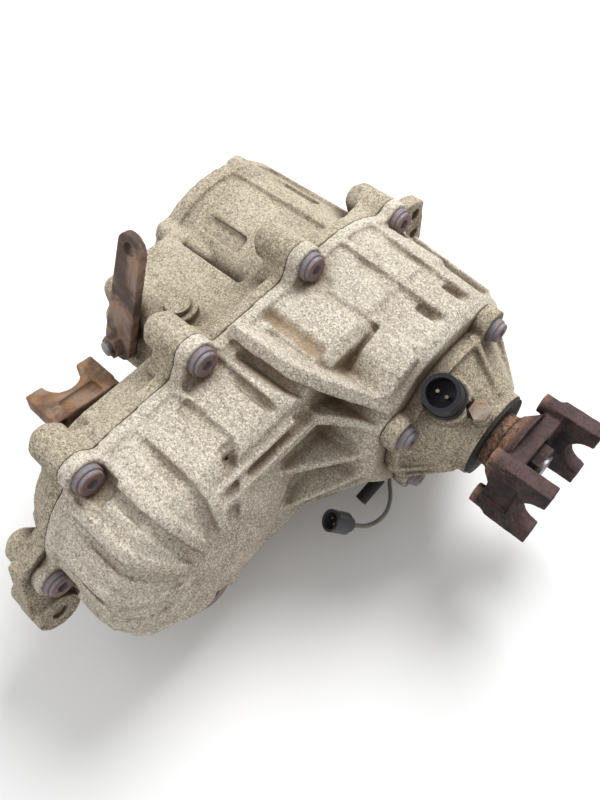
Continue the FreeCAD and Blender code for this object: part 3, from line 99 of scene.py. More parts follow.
class Finish:
    """A node material built from named layers, all on the piece's own coordinates."""

    def __init__(self, name):
        self.mat = bpy.data.materials.new(name)
        self.mat.use_nodes = True
        self.nt = self.mat.node_tree
        self.nt.nodes.clear()
        self.out = self.add("ShaderNodeOutputMaterial")
        self.skin = self.add("ShaderNodeBsdfPrincipled")
        self.nt.links.new(self.skin.outputs[0], self.out.inputs[0])
        self.place = self.add("ShaderNodeTexCoord").outputs["Object"]
        self.shape = self.add("ShaderNodeNewGeometry")
        self.normal = None

    def add(self, kind):
        return self.nt.nodes.new(kind)

    def link(self, a, b):
        if isinstance(a, (int, float)):
            b.default_value = a
        elif isinstance(a, tuple):
            b.default_value = a
        else:
            self.nt.links.new(a, b)

    def stretch(self, scale):
        m = self.add("ShaderNodeMapping")
        m.inputs["Scale"].default_value = scale
        self.link(self.place, m.inputs["Vector"])
        return m.outputs[0]

    def noise(self, scale, detail=3.0, rough=0.55, warp=0.0, at=None):
        n = self.add("ShaderNodeTexNoise")
        n.inputs["Scale"].default_value = scale
        n.inputs["Detail"].default_value = detail
        n.inputs["Roughness"].default_value = rough
        n.inputs["Distortion"].default_value = warp
        self.link(at or self.place, n.inputs["Vector"])
        return n.outputs["Fac"]

    def grains(self, scale):
        """One random value for each sand grain."""
        n = self.add("ShaderNodeTexVoronoi")
        n.inputs["Scale"].default_value = scale
        self.link(self.place, n.inputs["Vector"])
        split = self.add("ShaderNodeSeparateColor")
        self.link(n.outputs["Color"], split.inputs[0])
        return split.outputs[0]

    def along(self, axis, lo, hi):
        """0 to 1 between two stations of the piece's own axis."""
        split = self.add("ShaderNodeSeparateXYZ")
        self.link(self.place, split.inputs[0])
        return self.span(split.outputs[axis], lo, hi)

    def span(self, value, lo, hi, to_lo=0.0, to_hi=1.0):
        n = self.add("ShaderNodeMapRange")
        n.interpolation_type = "SMOOTHSTEP"
        self.link(value, n.inputs["Value"])
        n.inputs["From Min"].default_value = lo
        n.inputs["From Max"].default_value = hi
        n.inputs["To Min"].default_value = to_lo
        n.inputs["To Max"].default_value = to_hi
        return n.outputs["Result"]

    def calc(self, op, a, b=0.0):
        n = self.add("ShaderNodeMath")
        n.operation = op
        self.link(a, n.inputs[0])
        self.link(b, n.inputs[1])
        return n.outputs[0]

    def blend(self, fac, a, b):
        n = self.add("ShaderNodeMix")
        n.data_type = "RGBA"
        self.link(fac, n.inputs["Factor"])
        self.link(a, n.inputs["A"])
        self.link(b, n.inputs["B"])
        return n.outputs["Result"]

    def shelter(self, reach):
        """0 in the open, 1 deep in a recess."""
        n = self.add("ShaderNodeAmbientOcclusion")
        n.samples = 6
        n.inputs["Distance"].default_value = reach
        return self.calc("SUBTRACT", 1.0, n.outputs["AO"])

    def edges(self, reach, lo=0.02, hi=0.25):
        """1 on worn corners, 0 on plain faces."""
        n = self.add("ShaderNodeBevel")
        n.samples = 4
        n.inputs["Radius"].default_value = reach
        d = self.add("ShaderNodeVectorMath")
        d.operation = "DOT_PRODUCT"
        self.link(n.outputs[0], d.inputs[0])
        self.link(self.shape.outputs["Normal"], d.inputs[1])
        return self.span(self.calc("SUBTRACT", 1.0, d.outputs["Value"]), lo, hi)

    def upward(self, lo=0.1, hi=0.9):
        s = self.add("ShaderNodeSeparateXYZ")
        self.link(self.shape.outputs["Normal"], s.inputs[0])
        return self.span(s.outputs["Z"], lo, hi)

    def bump(self, height, depth, strength=1.0):
        n = self.add("ShaderNodeBump")
        n.inputs["Distance"].default_value = depth
        n.inputs["Strength"].default_value = strength
        self.link(height, n.inputs["Height"])
        if self.normal is not None:
            self.link(self.normal, n.inputs["Normal"])
        self.normal = n.outputs[0]

    def done(self, colour, rough, metal=0.0, spec=0.5):
        self.link(colour, self.skin.inputs["Base Color"])
        self.link(rough, self.skin.inputs["Roughness"])
        self.link(metal, self.skin.inputs["Metallic"])
        self.skin.inputs["Specular IOR Level"].default_value = spec
        if self.normal is not None:
            self.link(self.normal, self.skin.inputs["Normal"])
        return self.mat


# ---------------------------------------------------------------- finishes

def sand_cast(name, pale, mid, shade_tone, speck, underside_shade, stained=False):
    """Weathered sand-cast aluminium: dusty skin, peppered grain; painted brown shade in recesses
    and on downward faces.

    With stained set, the casting also has painted brown shade along the hollow beside its main
    buttress.
    """
    f = Finish(name)
    broad = f.noise(9.0, 4.0, 0.6, 0.6)
    patch = f.noise(46.0, 5.0, 0.66, 0.4)
    blot = f.noise(210.0, 3.0, 0.7)
    sand = f.grains(1150.0)
    fine = f.grains(2300.0)
    light = tuple(min(1.0, c * 1.28) for c in pale[:3]) + (1.0,)
    base = f.blend(f.span(broad, 0.36, 0.66), pale, mid)
    base = f.blend(f.span(patch, 0.44, 0.68, 0.0, 0.65), base, mid)
    # Painted shade: faces turned downward take the darker brown shade tone.
    low = f.calc("SUBTRACT", 1.0, f.upward(-0.15, 0.55))
    base = f.blend(f.calc("MULTIPLY", low, f.span(patch, 0.3, 0.7, 0.4, underside_shade)), base, shade_tone)
    base = f.blend(f.span(blot, 0.54, 0.70, 0.0, 0.5), base, speck)
    base = f.blend(f.span(sand, 0.70, 0.92, 0.0, 0.52), base, speck)
    base = f.blend(f.span(fine, 0.66, 0.95, 0.0, 0.50), base, speck)
    base = f.blend(f.span(sand, 0.34, 0.08, 0.0, 0.6), base, light)
    base = f.blend(f.span(fine, 0.3, 0.05, 0.0, 0.4), base, light)
    # Painted shade in a brown tone on the floor of the hollow beside the main buttress.
    if stained:
        x0, x1 = HOLLOW_X
        y0, y1 = HOLLOW_Y
        across = f.calc("MULTIPLY", f.along("Y", y0 - 0.0005, y0 + 0.0040),
                        f.along("Y", y1 + 0.0015, y1 - 0.0030))
        along = f.calc("MULTIPLY", f.along("X", x0 - 0.002, x0 + 0.003),
                       f.along("X", x1 + 0.003, x1 - 0.008))
        hollow_shade_mask = f.calc("MULTIPLY", f.calc("MULTIPLY", across, along), f.upward(0.2, 0.6))
        base = f.blend(f.calc("MULTIPLY", hollow_shade_mask, f.span(patch, 0.25, 0.6, 0.5, 0.85)), base,
                       tone(158, 134, 102))
    # Painted shade: recesses found by ambient occlusion take the darker brown tone, mixed with
    # specks.
    recess_shade = f.shelter(0.016)
    recess_shade_mask = f.calc("MULTIPLY", f.span(recess_shade, 0.10, 0.5), f.span(patch, 0.25, 0.6, 0.7, 1.0))
    base = f.blend(recess_shade_mask, base, f.blend(f.span(sand, 0.5, 0.9), shade_tone, speck))
    f.bump(f.noise(120.0, 3.0, 0.6), 0.0009, 0.5)
    f.bump(f.noise(700.0, 3.0, 0.7), 0.0008, 0.8)
    return f.done(base, f.span(sand, 0.0, 1.0, 0.75, 0.95), 0.0, 0.2)


def rusted(name, dark, mid, bright, worn, bright_from, bright_to):
    """Scaled iron: dark oxide with loose orange rust and pale rubbed corners; painted shade in
    recesses.
    """
    f = Finish(name)
    broad = f.noise(34.0, 5.0, 0.65, 0.8)
    patch = f.noise(130.0, 5.0, 0.7, 0.5)
    grain = f.noise(700.0, 3.0, 0.7)
    base = f.blend(f.span(broad, 0.4, 0.62), dark, mid)
    base = f.blend(f.calc("MULTIPLY", f.span(patch, bright_from, bright_to),
                          f.span(broad, 0.38, 0.6, 0.25, 1.0)), base, bright)
    base = f.blend(f.span(grain, 0.58, 0.70, 0.0, 0.6), base, dark)
    base = f.blend(f.calc("MULTIPLY", f.edges(0.0014), f.span(patch, 0.3, 0.6, 0.2, 0.8)),
                   base, worn)
    # Painted shade: recesses found by ambient occlusion take the dark tone.
    base = f.blend(f.span(f.shelter(0.014), 0.2, 0.8, 0.0, 0.7), base, dark)
    f.bump(patch, 0.0011, 0.75)
    f.bump(grain, 0.0006, 0.7)
    rough = f.span(patch, 0.3, 0.7, 0.62, 0.92)
    return f.done(base, rough, 0.0, 0.35)


def yoke_iron(name, dark, mid, rust, pale, start, end):
    """Scaled forging, dark purple-brown, its hub still bright with loose rust; painted light on
    upward faces, painted shade in recesses.
    """
    f = Finish(name)
    broad = f.noise(40.0, 5.0, 0.65, 0.6)
    patch = f.noise(170.0, 5.0, 0.7, 0.4)
    sand = f.grains(900.0)
    body = f.blend(f.span(broad, 0.4, 0.62), dark, mid)
    # Painted light: faces turned upward take a lighter copy of the mid tone.
    body = f.blend(f.calc("MULTIPLY", f.upward(0.3, 0.95), f.span(patch, 0.3, 0.6, 0.2, 0.6)),
                   body, tuple(min(1.0, c * 2.0) for c in mid[:3]) + (1.0,))
    body = f.blend(f.span(patch, 0.60, 0.74, 0.0, 0.5), body, rust)
    hub = f.blend(f.span(sand, 0.25, 0.85), rust, pale)
    hub = f.blend(f.span(patch, 0.5, 0.62, 0.0, 0.85), hub, mid)
    base = f.blend(f.along("X", start, end), hub, body)
    base = f.blend(f.span(sand, 0.75, 0.95, 0.0, 0.5), base, dark)
    # Painted shade: recesses found by ambient occlusion go very dark.
    base = f.blend(f.span(f.shelter(0.012), 0.15, 0.6, 0.0, 0.85), base,
                   tuple(c * 0.4 for c in dark[:3]) + (1.0,))
    f.bump(patch, 0.0010, 0.75)
    f.bump(sand, 0.0003, 0.6)
    return f.done(base, f.span(patch, 0.3, 0.7, 0.6, 0.9), 0.0, 0.3)


def bolt_steel(name, face, rust, flank):
    """Phosphated screws: brown bloom on the end faces, blue-grey flanks."""
    f = Finish(name)
    patch = f.noise(260.0, 4.0, 0.65, 0.4)
    grain = f.noise(1100.0, 2.0, 0.6)
    part = f.add("ShaderNodeSeparateXYZ")
    f.link(f.shape.outputs["Normal"], part.inputs[0])
    end = f.span(f.calc("ABSOLUTE", part.outputs["X"]), 0.55, 0.9)
    base = f.blend(end, flank, face)
    base = f.blend(f.span(patch, 0.46, 0.62, 0.0, 0.7), base, rust)
    base = f.blend(f.span(grain, 0.52, 0.66, 0.0, 0.55), base, face)
    f.bump(patch, 0.0004, 0.6)
    f.bump(grain, 0.0003, 0.6)
    return f.done(base, f.span(patch, 0.3, 0.7, 0.45, 0.75), 0.15, 0.45)


def moulded(name, colour, dust, rough_lo, rough_hi, dusting):
    """Moulded plastic or rubber with grit lying on it."""
    f = Finish(name)
    patch = f.noise(150.0, 4.0, 0.65, 0.3)
    grain = f.noise(1000.0, 2.0, 0.6)
    base = f.blend(f.calc("MULTIPLY", f.span(patch, 0.42, 0.7), dusting), colour, dust)
    base = f.blend(f.calc("MULTIPLY", f.edges(0.0006), 0.4), base, dust)
    base = f.blend(f.span(grain, 0.60, 0.70, 0.0, 0.35), base, dust)
    f.bump(grain, 0.0002, 0.5)
    return f.done(base, f.span(patch, 0.3, 0.7, rough_lo, rough_hi), 0.0, 0.5)


def cut_steel(name, colour, stain):
    """Turned and ground steel, lightly stained."""
    f = Finish(name)
    lines = f.noise(60.0, 2.0, 0.5, 0.0, f.stretch((30.0, 1.0, 1.0)))
    patch = f.noise(90.0, 4.0, 0.6, 0.5)
    base = f.blend(f.span(patch, 0.45, 0.7, 0.0, 0.7), colour, stain)
    base = f.blend(f.span(lines, 0.45, 0.6, 0.0, 0.25), base, stain)
    f.bump(lines, 0.0001, 0.4)
    return f.done(base, f.span(patch, 0.3, 0.7, 0.28, 0.55), 0.85, 0.5)


FINISHES = {
    "cast_aluminium_rear": sand_cast(
        "weathered_rear_casting", tone(222, 214, 199), tone(190, 181, 165),
        tone(132, 112, 90), tone(112, 98, 84), 0.8, True),
    "cast_aluminium_front": sand_cast(
        "grimy_and_shaded_front_casting", tone(203, 192, 171), tone(164, 152, 131),
        tone(88, 74, 60), tone(86, 76, 65), 0.9),
    "rusty_iron": yoke_iron(
        "scaled_yoke_iron", tone(48, 37, 39), tone(78, 61, 59), tone(172, 118, 82),
        tone(196, 170, 150), 0.262, 0.274),
    "rusty_steel": rusted(
        "rusted_lever_steel", tone(90, 75, 70), tone(158, 134, 120), tone(176, 136, 100),
        tone(206, 192, 178), 0.48, 0.70),
    "dark_bolt_steel": bolt_steel(
        "phosphated_screws", tone(114, 92, 90), tone(150, 122, 110), tone(136, 136, 146)),
    "machined_steel": cut_steel("turned_steel", tone(150, 150, 152), tone(112, 92, 74)),
    "black_plastic": moulded(
        "black_nylon", tone(15, 16, 27), tone(84, 82, 84), 0.5, 0.8, 0.12),
    "grey_plastic": moulded(
        "grey_nylon", tone(58, 60, 65), tone(120, 114, 104), 0.5, 0.75, 0.25),
    "rubber": moulded("perished_rubber", tone(24, 23, 23), tone(92, 80, 66), 0.6, 0.9, 0.3),
    "lead_wire": moulded("lead_jacket", tone(112, 106, 96), tone(150, 138, 118), 0.5, 0.75, 0.5),
    "brass": cut_steel("plated_brass", tone(160, 150, 130), tone(110, 96, 74)),
    "ferrite": moulded("dark_ferrite", tone(40, 40, 42), tone(90, 84, 76), 0.5, 0.8, 0.3),
    "beige_iron": rusted(
        "rusted_front_yoke", tone(112, 86, 70), tone(160, 137, 117), tone(170, 120, 80),
        tone(200, 188, 168), 0.46, 0.66),
    "grimy_nut": rusted(
        "grimy_yoke_nut", tone(44, 35, 36), tone(82, 66, 62), tone(140, 98, 68),
        tone(128, 116, 108), 0.5, 0.72),
    "washed_screw": rusted(
        "rusty_pale_screw", tone(120, 96, 80), tone(176, 160, 146), tone(168, 122, 88),
        tone(206, 198, 184), 0.46, 0.66),
}

# Pieces whose weathering differs from that of their material's slot.
FINISH_OF = {
    "front_yoke": "beige_iron",
    "sensor_bolt": "washed_screw",
    "rear_retainer": "cast_aluminium_front",
    "rear_yoke_nut": "grimy_nut",
    "front_yoke_nut": "grimy_nut",
    "lever_nut": "rusty_steel",
    "detent_plug": "cast_aluminium_front",
}


def finish_of(node_name):
    return FINISHES[FINISH_OF.get(node_name, SLOT_OF[node_name])]


for node_name, node in NODES.items():
    node.data.materials.clear()
    node.data.materials.append(finish_of(node_name))


# ---------------------------------------------------------------- cast skins

def merged_copy(node_name, name):
    """A welded copy of a CAD node's mesh, ready to be reworked."""
    mesh = NODES[node_name].data.copy()
    mesh.name = name
    bm = bmesh.new()
    bm.from_mesh(mesh)
    bmesh.ops.remove_doubles(bm, verts=bm.verts, dist=2e-6)
    bm.to_mesh(mesh)
    bm.free()
    obj = bpy.data.objects.new(name, mesh)
    bpy.context.scene.collection.objects.link(obj)
    return obj


def bake_modifiers(obj):
    """Replaces the mesh by its evaluated one and drops the modifiers."""
    bpy.context.view_layer.update()
    graph = bpy.context.evaluated_depsgraph_get()
    done = bpy.data.meshes.new_from_object(obj.evaluated_get(graph))
    obj.modifiers.clear()
    obj.data = done


def bay_outline(r, steps=48):
    """Outline of the chain bay round both shafts, drawn at one radius."""
    out = []
    for i in range(steps + 1):
        a = math.pi / 2 + math.pi * i / steps
        out.append((FRONT_LINE + r * math.cos(a), r * math.sin(a)))
    for i in range(steps + 1):
        a = -math.pi / 2 + math.pi * i / steps
        out.append((r * math.cos(a), r * math.sin(a)))
    return out


def add_bay_liner(bm):
    """A ring just inside the bay's wall, which closes thin stretches of it."""
    x0, x1 = BAY_LINER_X
    r_in, r_out = BAY_LINER_R
    loops = [[bm.verts.new((x, y, z)) for y, z in bay_outline(r)]
             for x, r in ((x0, r_in), (x0, r_out), (x1, r_out), (x1, r_in))]
    n = len(loops[0])
    for j, loop in enumerate(loops):
        after = loops[(j + 1) % 4]
        for i in range(n):
            k = (i + 1) % n
            bm.faces.new((loop[i], after[i], after[k], loop[k]))


def add_lobe_pad(bm):
    """A block under the first lobe rib, where the hollow beside it runs through."""
    size = [b - a for a, b in zip(*LOBE_PAD)]
    place = Matrix.Translation([(a + b) / 2 for a, b in zip(*LOBE_PAD)])
    bmesh.ops.create_cube(bm, size=1.0, matrix=place @ Matrix.Diagonal((*size, 1.0)))


def add_tower_collar(bm, steps=24):
    """Part of a tapered ring that makes the hollows between the tower's ribs shallow."""
    taper = (TOWER_TIP_R - TOWER_R) / (TOWER_TIP_X - SPLIT_X)
    x0, x1 = COLLAR_X
    outline = [(x0, COLLAR_IN_R), (x0, TOWER_R + taper * (x0 - SPLIT_X) - COLLAR_DOWN),
               (x1, TOWER_R + taper * (x1 - SPLIT_X) - COLLAR_DOWN), (x1, COLLAR_IN_R)]
    loops = []
    for i in range(steps + 1):
        a = math.radians(COLLAR_DEG[0] + (COLLAR_DEG[1] - COLLAR_DEG[0]) * i / steps)
        loops.append([bm.verts.new((x, r * math.cos(a), r * math.sin(a))) for x, r in outline])
    for here, after in zip(loops, loops[1:]):
        for i in range(len(outline)):
            k = (i + 1) % len(outline)
            bm.faces.new((here[i], here[k], after[k], after[i]))
    bm.faces.new(loops[0])
    bm.faces.new(loops[-1])


def add_groove_floor(bm):
    """A slab just under the flat top, which makes the grooves in it shallow."""
    fall = (TOWER_R - LOBE_R) / -FRONT_LINE
    edge_x = REAR_FACE_X - FACE_EDGE
    draft = FACE_DRAFT / (edge_x - SPLIT_X)
    start_x = COLLAR_X[0]
    corners = []
    for x, low, high in (
            (start_x, 0.070, TOWER_R - draft * (start_x - SPLIT_X)),
            (edge_x, 0.070, TOWER_R - FACE_DRAFT),
            (REAR_FACE_X + 0.001, 0.064, TOWER_R - FACE_DRAFT - FACE_EDGE)):
        for y in GROOVE_FLOOR_Y:
            corners.append((x, y, low))
            corners.append((x, y, high + fall * y - GROOVE_FLOOR_DOWN))
    bmesh.ops.convex_hull(bm, input=[bm.verts.new(c) for c in corners])


BAY_LINER_X = (0.1155, 0.1675)
BAY_LINER_R = (0.0650, 0.0688)
LOBE_PAD = ((0.130, -0.1475, 0.0655), (0.164, -0.1335, 0.0722))
COLLAR_X = (0.131, 0.185)
COLLAR_IN_R = 0.067
COLLAR_DOWN = 0.0007            # collar's top under the tower's own surface
COLLAR_DEG = (62.0, 128.0)
GROOVE_FLOOR_Y = (-0.046, 0.002)
GROOVE_FLOOR_DOWN = 0.0017      # slab's top under the flat top


def back_rear_case(mesh):
    """Backs the thin and deeply grooved stretches, so that the skin stays closed there."""
    bm = bmesh.new()
    bm.from_mesh(mesh)
    add_bay_liner(bm)
    add_lobe_pad(bm)
    add_tower_collar(bm)
    add_groove_floor(bm)
    bm.to_mesh(mesh)
    bm.free()


def press_hollow(mesh):
    """Presses the soft hollow beside the main buttress into the flat top."""
    def ramp(t):
        t = min(1.0, max(0.0, t / HOLLOW_EASE))
        return t * t * (3.0 - 2.0 * t)
    for v in mesh.vertices:
        if v.co.z > HOLLOW_FLOOR:
            along = ramp(v.co.x - HOLLOW_X[0]) * ramp(HOLLOW_X[1] - v.co.x)
            across = ramp(v.co.y - HOLLOW_Y[0]) * ramp(HOLLOW_Y[1] - v.co.y)
            v.co.z -= HOLLOW_DEPTH * along * across


def cast_skin(node_name, voxel, rounds, keep, lumps):
    """The casting as poured: every corner and root of the CAD form gets a soft radius."""
    obj = merged_copy(node_name, node_name + "_skin")
    if node_name == "rear_case":
        back_rear_case(obj.data)
    rm = obj.modifiers.new("remesh", "REMESH")
    rm.mode = "VOXEL"
    rm.voxel_size = voxel
    rm.use_smooth_shade = True
    sm = obj.modifiers.new("soften", "SMOOTH")
    sm.factor = 0.5
    sm.iterations = rounds
    tex = bpy.data.textures.new(node_name + "_sand", "CLOUDS")
    tex.noise_scale = 0.006
    tex.noise_depth = 2
    dp = obj.modifiers.new("sand", "DISPLACE")
    dp.texture = tex
    dp.texture_coords = "LOCAL"
    dp.strength = lumps
    dp.mid_level = 0.62
    dm = obj.modifiers.new("thin", "DECIMATE")
    dm.ratio = keep
    bake_modifiers(obj)
    if node_name == "rear_case":
        press_hollow(obj.data)
    obj.data.materials.clear()
    obj.data.materials.append(finish_of(node_name))
    for p in obj.data.polygons:
        p.use_smooth = True
    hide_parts(node_name)
    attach(obj, BODY_OF[node_name])


# Voxel, rounds of smoothing, share of the faces kept, height of the sand lumps.
SKINS = {
    "rear_case": (0.0012, 3, 0.36, 0.0004),
    "front_case": (0.0012, 3, 0.30, 0.0004),
    "rear_retainer": (0.0010, 3, 0.7, 0.0003),
    "rear_yoke": (0.0009, 4, 0.8, 0.0005),
    "front_yoke": (0.0009, 4, 0.8, 0.0005),
    "shift_lever": (0.0007, 3, 0.8, 0.0003),
}
for node_name, (voxel, rounds, keep, lumps) in SKINS.items():
    cast_skin(node_name, voxel, rounds, keep, lumps)


# ---------------------------------------------------------------- screws

def seats(node_name):
    """Bounds of each loose solid of a CAD node."""
    bm = bmesh.new()
    bm.from_mesh(NODES[node_name].data)
    bmesh.ops.remove_doubles(bm, verts=bm.verts, dist=2e-6)
    left = set(bm.verts)
    out = []
    while left:
        seed = left.pop()
        island = {seed}
        front = [seed]
        while front:
            for e in front.pop().link_edges:
                for v in e.verts:
                    if v in left:
                        left.discard(v)
                        island.add(v)
                        front.append(v)
        out.append(tuple((min(v.co[i] for v in island), max(v.co[i] for v in island))
                         for i in range(3)))
    bm.free()
    return sorted(out)


def socket_screw(name, shank_r, shank_len, head_r, head_h):
    """Cylinder-head screw along X: stepped rim, chamfer and a hexagon socket."""
    sides = 48
    round_rings = [
        (-shank_len, shank_r * 0.001), (-shank_len, shank_r * 0.82),
        (-shank_len + 0.0012, shank_r), (0.0, shank_r), (0.0, head_r), (head_h * 0.48, head_r),
        (head_h * 0.56, head_r * 0.95), (head_h * 0.60, head_r * 0.86),
        (head_h * 0.92, head_r * 0.84), (head_h, head_r * 0.76)]
    socket_rings = [
        (head_h, head_r * 0.47), (head_h * 0.95, head_r * 0.42),
        (head_h * 0.55, head_r * 0.40), (head_h * 0.5, 0.0001)]
    rings = [(x, r, False) for x, r in round_rings] + [(x, r, True) for x, r in socket_rings]
    bm = bmesh.new()
    loops = []
    for x, r, hexed in rings:
        loop = []
        for i in range(sides):
            a = 2 * math.pi * i / sides
            rr = r
            if hexed:
                rr = r * math.cos(math.pi / 6) / math.cos((a % (math.pi / 3)) - math.pi / 6)
            loop.append(bm.verts.new((x, rr * math.cos(a), rr * math.sin(a))))
        loops.append(loop)
    for a, b in zip(loops, loops[1:]):
        for i in range(sides):
            k = (i + 1) % sides
            bm.faces.new((a[i], a[k], b[k], b[i]))
    bm.faces.new(list(reversed(loops[0])))
    bm.faces.new(loops[-1])
    bmesh.ops.recalc_face_normals(bm, faces=bm.faces)
    mesh = bpy.data.meshes.new(name)
    bm.to_mesh(mesh)
    bm.free()
    obj = bpy.data.objects.new(name, mesh)
    bpy.context.scene.collection.objects.link(obj)
    return obj


def screw_tree(name, pattern, material):
    """Node tree that sets one screw on every point, turned a little more each time."""
    tree = bpy.data.node_groups.new(name, "GeometryNodeTree")
    tree.interface.new_socket("Places", in_out="INPUT", socket_type="NodeSocketGeometry")
    turn = tree.interface.new_socket("Turn per screw", in_out="INPUT",
                                     socket_type="NodeSocketFloat")
    tree.interface.new_socket("Screws", in_out="OUTPUT", socket_type="NodeSocketGeometry")
    add = tree.nodes.new
    start = add("NodeGroupInput")
    end = add("NodeGroupOutput")
    info = add("GeometryNodeObjectInfo")
    info.inputs["Object"].default_value = pattern
    index = add("GeometryNodeInputIndex")
    times = add("ShaderNodeMath")
    times.operation = "MULTIPLY"
    spin = add("ShaderNodeCombineXYZ")
    on_points = add("GeometryNodeInstanceOnPoints")
    real = add("GeometryNodeRealizeInstances")
    paint = add("GeometryNodeSetMaterial")
    paint.inputs["Material"].default_value = material
    link = tree.links.new
    link(index.outputs[0], times.inputs[0])
    link(start.outputs["Turn per screw"], times.inputs[1])
    link(times.outputs[0], spin.inputs["X"])
    link(start.outputs["Places"], on_points.inputs["Points"])
    link(info.outputs["Geometry"], on_points.inputs["Instance"])
    link(spin.outputs[0], on_points.inputs["Rotation"])
    link(on_points.outputs["Instances"], real.inputs[0])
    link(real.outputs[0], paint.inputs["Geometry"])
    link(paint.outputs[0], end.inputs["Screws"])
    return tree, turn.identifier


def screws(node_name, shank_r, head_r, head_h, turn):
    """Every screw of a CAD node, its head's top where the node has it."""
    spots = seats(node_name)
    places = bpy.data.meshes.new(node_name + "_places")
    places.from_pydata([(s[0][1] - head_h, sum(s[1]) / 2, sum(s[2]) / 2) for s in spots],
                       [], [])
    obj = bpy.data.objects.new(node_name + "_screws", places)
    bpy.context.scene.collection.objects.link(obj)
    length = spots[0][0][1] - spots[0][0][0] - head_h
    pattern = socket_screw(node_name + "_pattern", shank_r, length, head_r, head_h)
    tree, socket = screw_tree(node_name + "_tree", pattern, FINISHES["dark_bolt_steel"])
    mod = obj.modifiers.new("screws", "NODES")
    mod.node_group = tree
    mod[socket] = turn
    bake_modifiers(obj)
    bpy.data.objects.remove(pattern)
    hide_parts(node_name)
    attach(obj, BODY_OF[node_name])


# Shank radius, head radius, head height, turn of each screw after the one before it.
SCREWS = {
    "split_flange_bolts": (0.0050, 0.0092, 0.0065, 0.7),
    "retainer_bolts": (0.0040, 0.0076, 0.0065, 0.5),
}
for node_name, sizes in SCREWS.items():
    screws(node_name, *sizes)


# ---------------------------------------------------------------- lead

LEAD_POINTS = [
    (0.194, -0.018504, -0.087055), (0.194, -0.0201, -0.0945), (0.200, -0.027, -0.100),
    (0.2085, -0.036, -0.098), (0.2145, -0.0455, -0.093), (0.2185, -0.0555, -0.0865),
    (0.2195, -0.0655, -0.081), (0.2175, -0.0745, -0.0775), (0.2135, -0.0815, -0.072),
    (0.2095, -0.087, -0.065),
]
LEAD_DIAMETER = 0.0034


def lead():
    """Switch lead, bent down and back up to its connector."""
    line = bpy.data.curves.new("sensor_lead", "CURVE")
    line.dimensions = "3D"
    spline = line.splines.new("NURBS")
    spline.points.add(len(LEAD_POINTS) - 1)
    for point, place in zip(spline.points, LEAD_POINTS):
        point.co = (*place, 1.0)
    spline.order_u = 3
    spline.use_endpoint_u = True
    spline.resolution_u = 12
    line.bevel_depth = LEAD_DIAMETER / 2.0
    line.bevel_resolution = 4
    line.use_fill_caps = True
    line.materials.append(FINISHES["lead_wire"])
    obj = bpy.data.objects.new("sensor_lead", line)
    bpy.context.scene.collection.objects.link(obj)
    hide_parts("pigtail_lead")
    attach(obj, "case")


lead()


# ---------------------------------------------------------------- floor, light and camera

BENCH_HALF = 3.0
BENCH_GAP = 0.0005
AIM = (0.15, -0.08, 0.0)
CAMERA_PLACE = (0.3252, -0.2348, 0.3931)
CAMERA_RIGHT = (0.734, 0.677, -0.043)
CAMERA_BACK = (0.391, -0.370, 0.842)


def bench():
    """Pale floor under the lowest piece, which shows white in mirrors and glass."""
    low = CAD_BOX[0][2] - BENCH_GAP
    h = BENCH_HALF
    mesh = bpy.data.meshes.new("bench")
    mesh.from_pydata([(-h, -h, low), (h, -h, low), (h, h, low), (-h, h, low)], [],
                     [(0, 1, 2, 3)])
    obj = bpy.data.objects.new("bench", mesh)
    bpy.context.scene.collection.objects.link(obj)
    mat = bpy.data.materials.new("pale_bench")
    mat.use_nodes = True
    nt = mat.node_tree
    nt.nodes.clear()
    out = nt.nodes.new("ShaderNodeOutputMaterial")
    mix = nt.nodes.new("ShaderNodeMixShader")
    path = nt.nodes.new("ShaderNodeLightPath")
    most = nt.nodes.new("ShaderNodeMath")
    most.operation = "MAXIMUM"
    glow = nt.nodes.new("ShaderNodeEmission")
    glow.inputs["Strength"].default_value = 1.0
    glow.inputs["Color"].default_value = (0.97, 0.97, 0.97, 1.0)
    matt = nt.nodes.new("ShaderNodeBsdfDiffuse")
    matt.inputs["Color"].default_value = (0.95, 0.95, 0.95, 1.0)
    nt.links.new(matt.outputs[0], mix.inputs[1])
    nt.links.new(glow.outputs[0], mix.inputs[2])
    nt.links.new(path.outputs["Is Glossy Ray"], most.inputs[0])
    nt.links.new(path.outputs["Is Transmission Ray"], most.inputs[1])
    nt.links.new(most.outputs[0], mix.inputs[0])
    nt.links.new(mix.outputs[0], out.inputs[0])
    mesh.materials.append(mat)


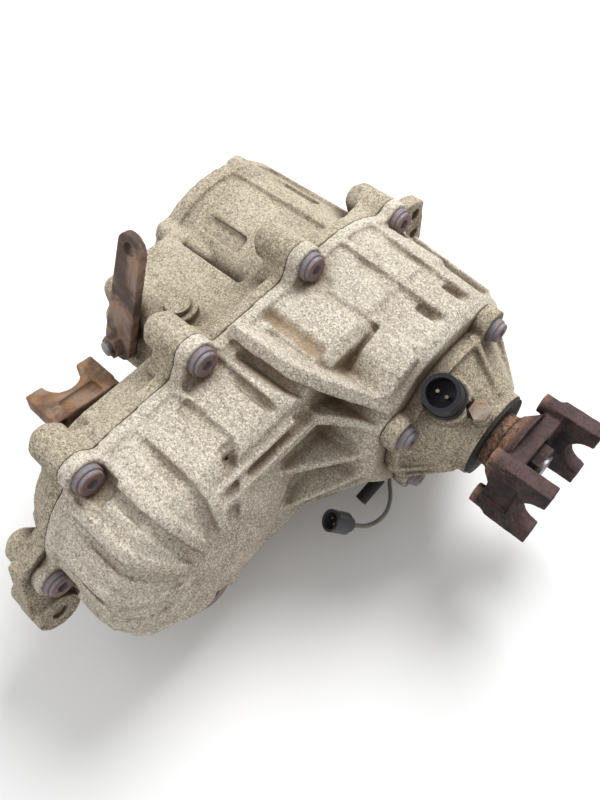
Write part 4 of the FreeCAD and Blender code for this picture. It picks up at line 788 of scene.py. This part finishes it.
def area_light(name, place, size, power):
    """Soft round lamp that faces the object."""
    data = bpy.data.lights.new(name, "AREA")
    data.shape = "DISK"
    data.size = size
    data.energy = power
    obj = bpy.data.objects.new(name, data)
    obj.location = place
    obj.rotation_euler = (Vector(AIM) - Vector(place)).to_track_quat("-Z", "Y").to_euler()
    bpy.context.scene.collection.objects.link(obj)


def world():
    """Even pale surroundings, white behind the object."""
    w = bpy.data.worlds.new("studio")
    bpy.context.scene.world = w
    w.use_nodes = True
    nt = w.node_tree
    nt.nodes.clear()
    out = nt.nodes.new("ShaderNodeOutputWorld")
    sky = nt.nodes.new("ShaderNodeBackground")
    sky.inputs["Color"].default_value = (1.0, 1.0, 1.0, 1.0)
    sky.inputs["Strength"].default_value = 0.55
    seen = nt.nodes.new("ShaderNodeBackground")
    seen.inputs["Color"].default_value = (1.0, 1.0, 1.0, 1.0)
    path = nt.nodes.new("ShaderNodeLightPath")
    mix = nt.nodes.new("ShaderNodeMixShader")
    nt.links.new(path.outputs["Is Camera Ray"], mix.inputs[0])
    nt.links.new(sky.outputs[0], mix.inputs[1])
    nt.links.new(seen.outputs[0], mix.inputs[2])
    nt.links.new(mix.outputs[0], out.inputs[0])


def camera():
    """Looks down on the case from behind the driver's side."""
    data = bpy.data.cameras.new("bench_camera")
    data.sensor_fit = "VERTICAL"
    data.sensor_height = 36.0
    data.lens = 30.96
    data.clip_start = 0.01
    obj = bpy.data.objects.new("bench_camera", data)
    right = Vector(CAMERA_RIGHT).normalized()
    back = Vector(CAMERA_BACK).normalized()
    up = back.cross(right).normalized()
    right = up.cross(back).normalized()
    turn = Matrix((right, up, back)).transposed().to_4x4()
    obj.matrix_world = Matrix.Translation(CAMERA_PLACE) @ turn
    bpy.context.scene.collection.objects.link(obj)
    bpy.context.scene.camera = obj


bench()
world()
area_light("key", place=(0.05, 0.75, 1.25), size=0.7, power=19.0)
area_light("fill", place=(-0.7, -0.8, 0.9), size=1.0, power=4.0)
camera()
bpy.context.scene.view_settings.view_transform = "Standard"
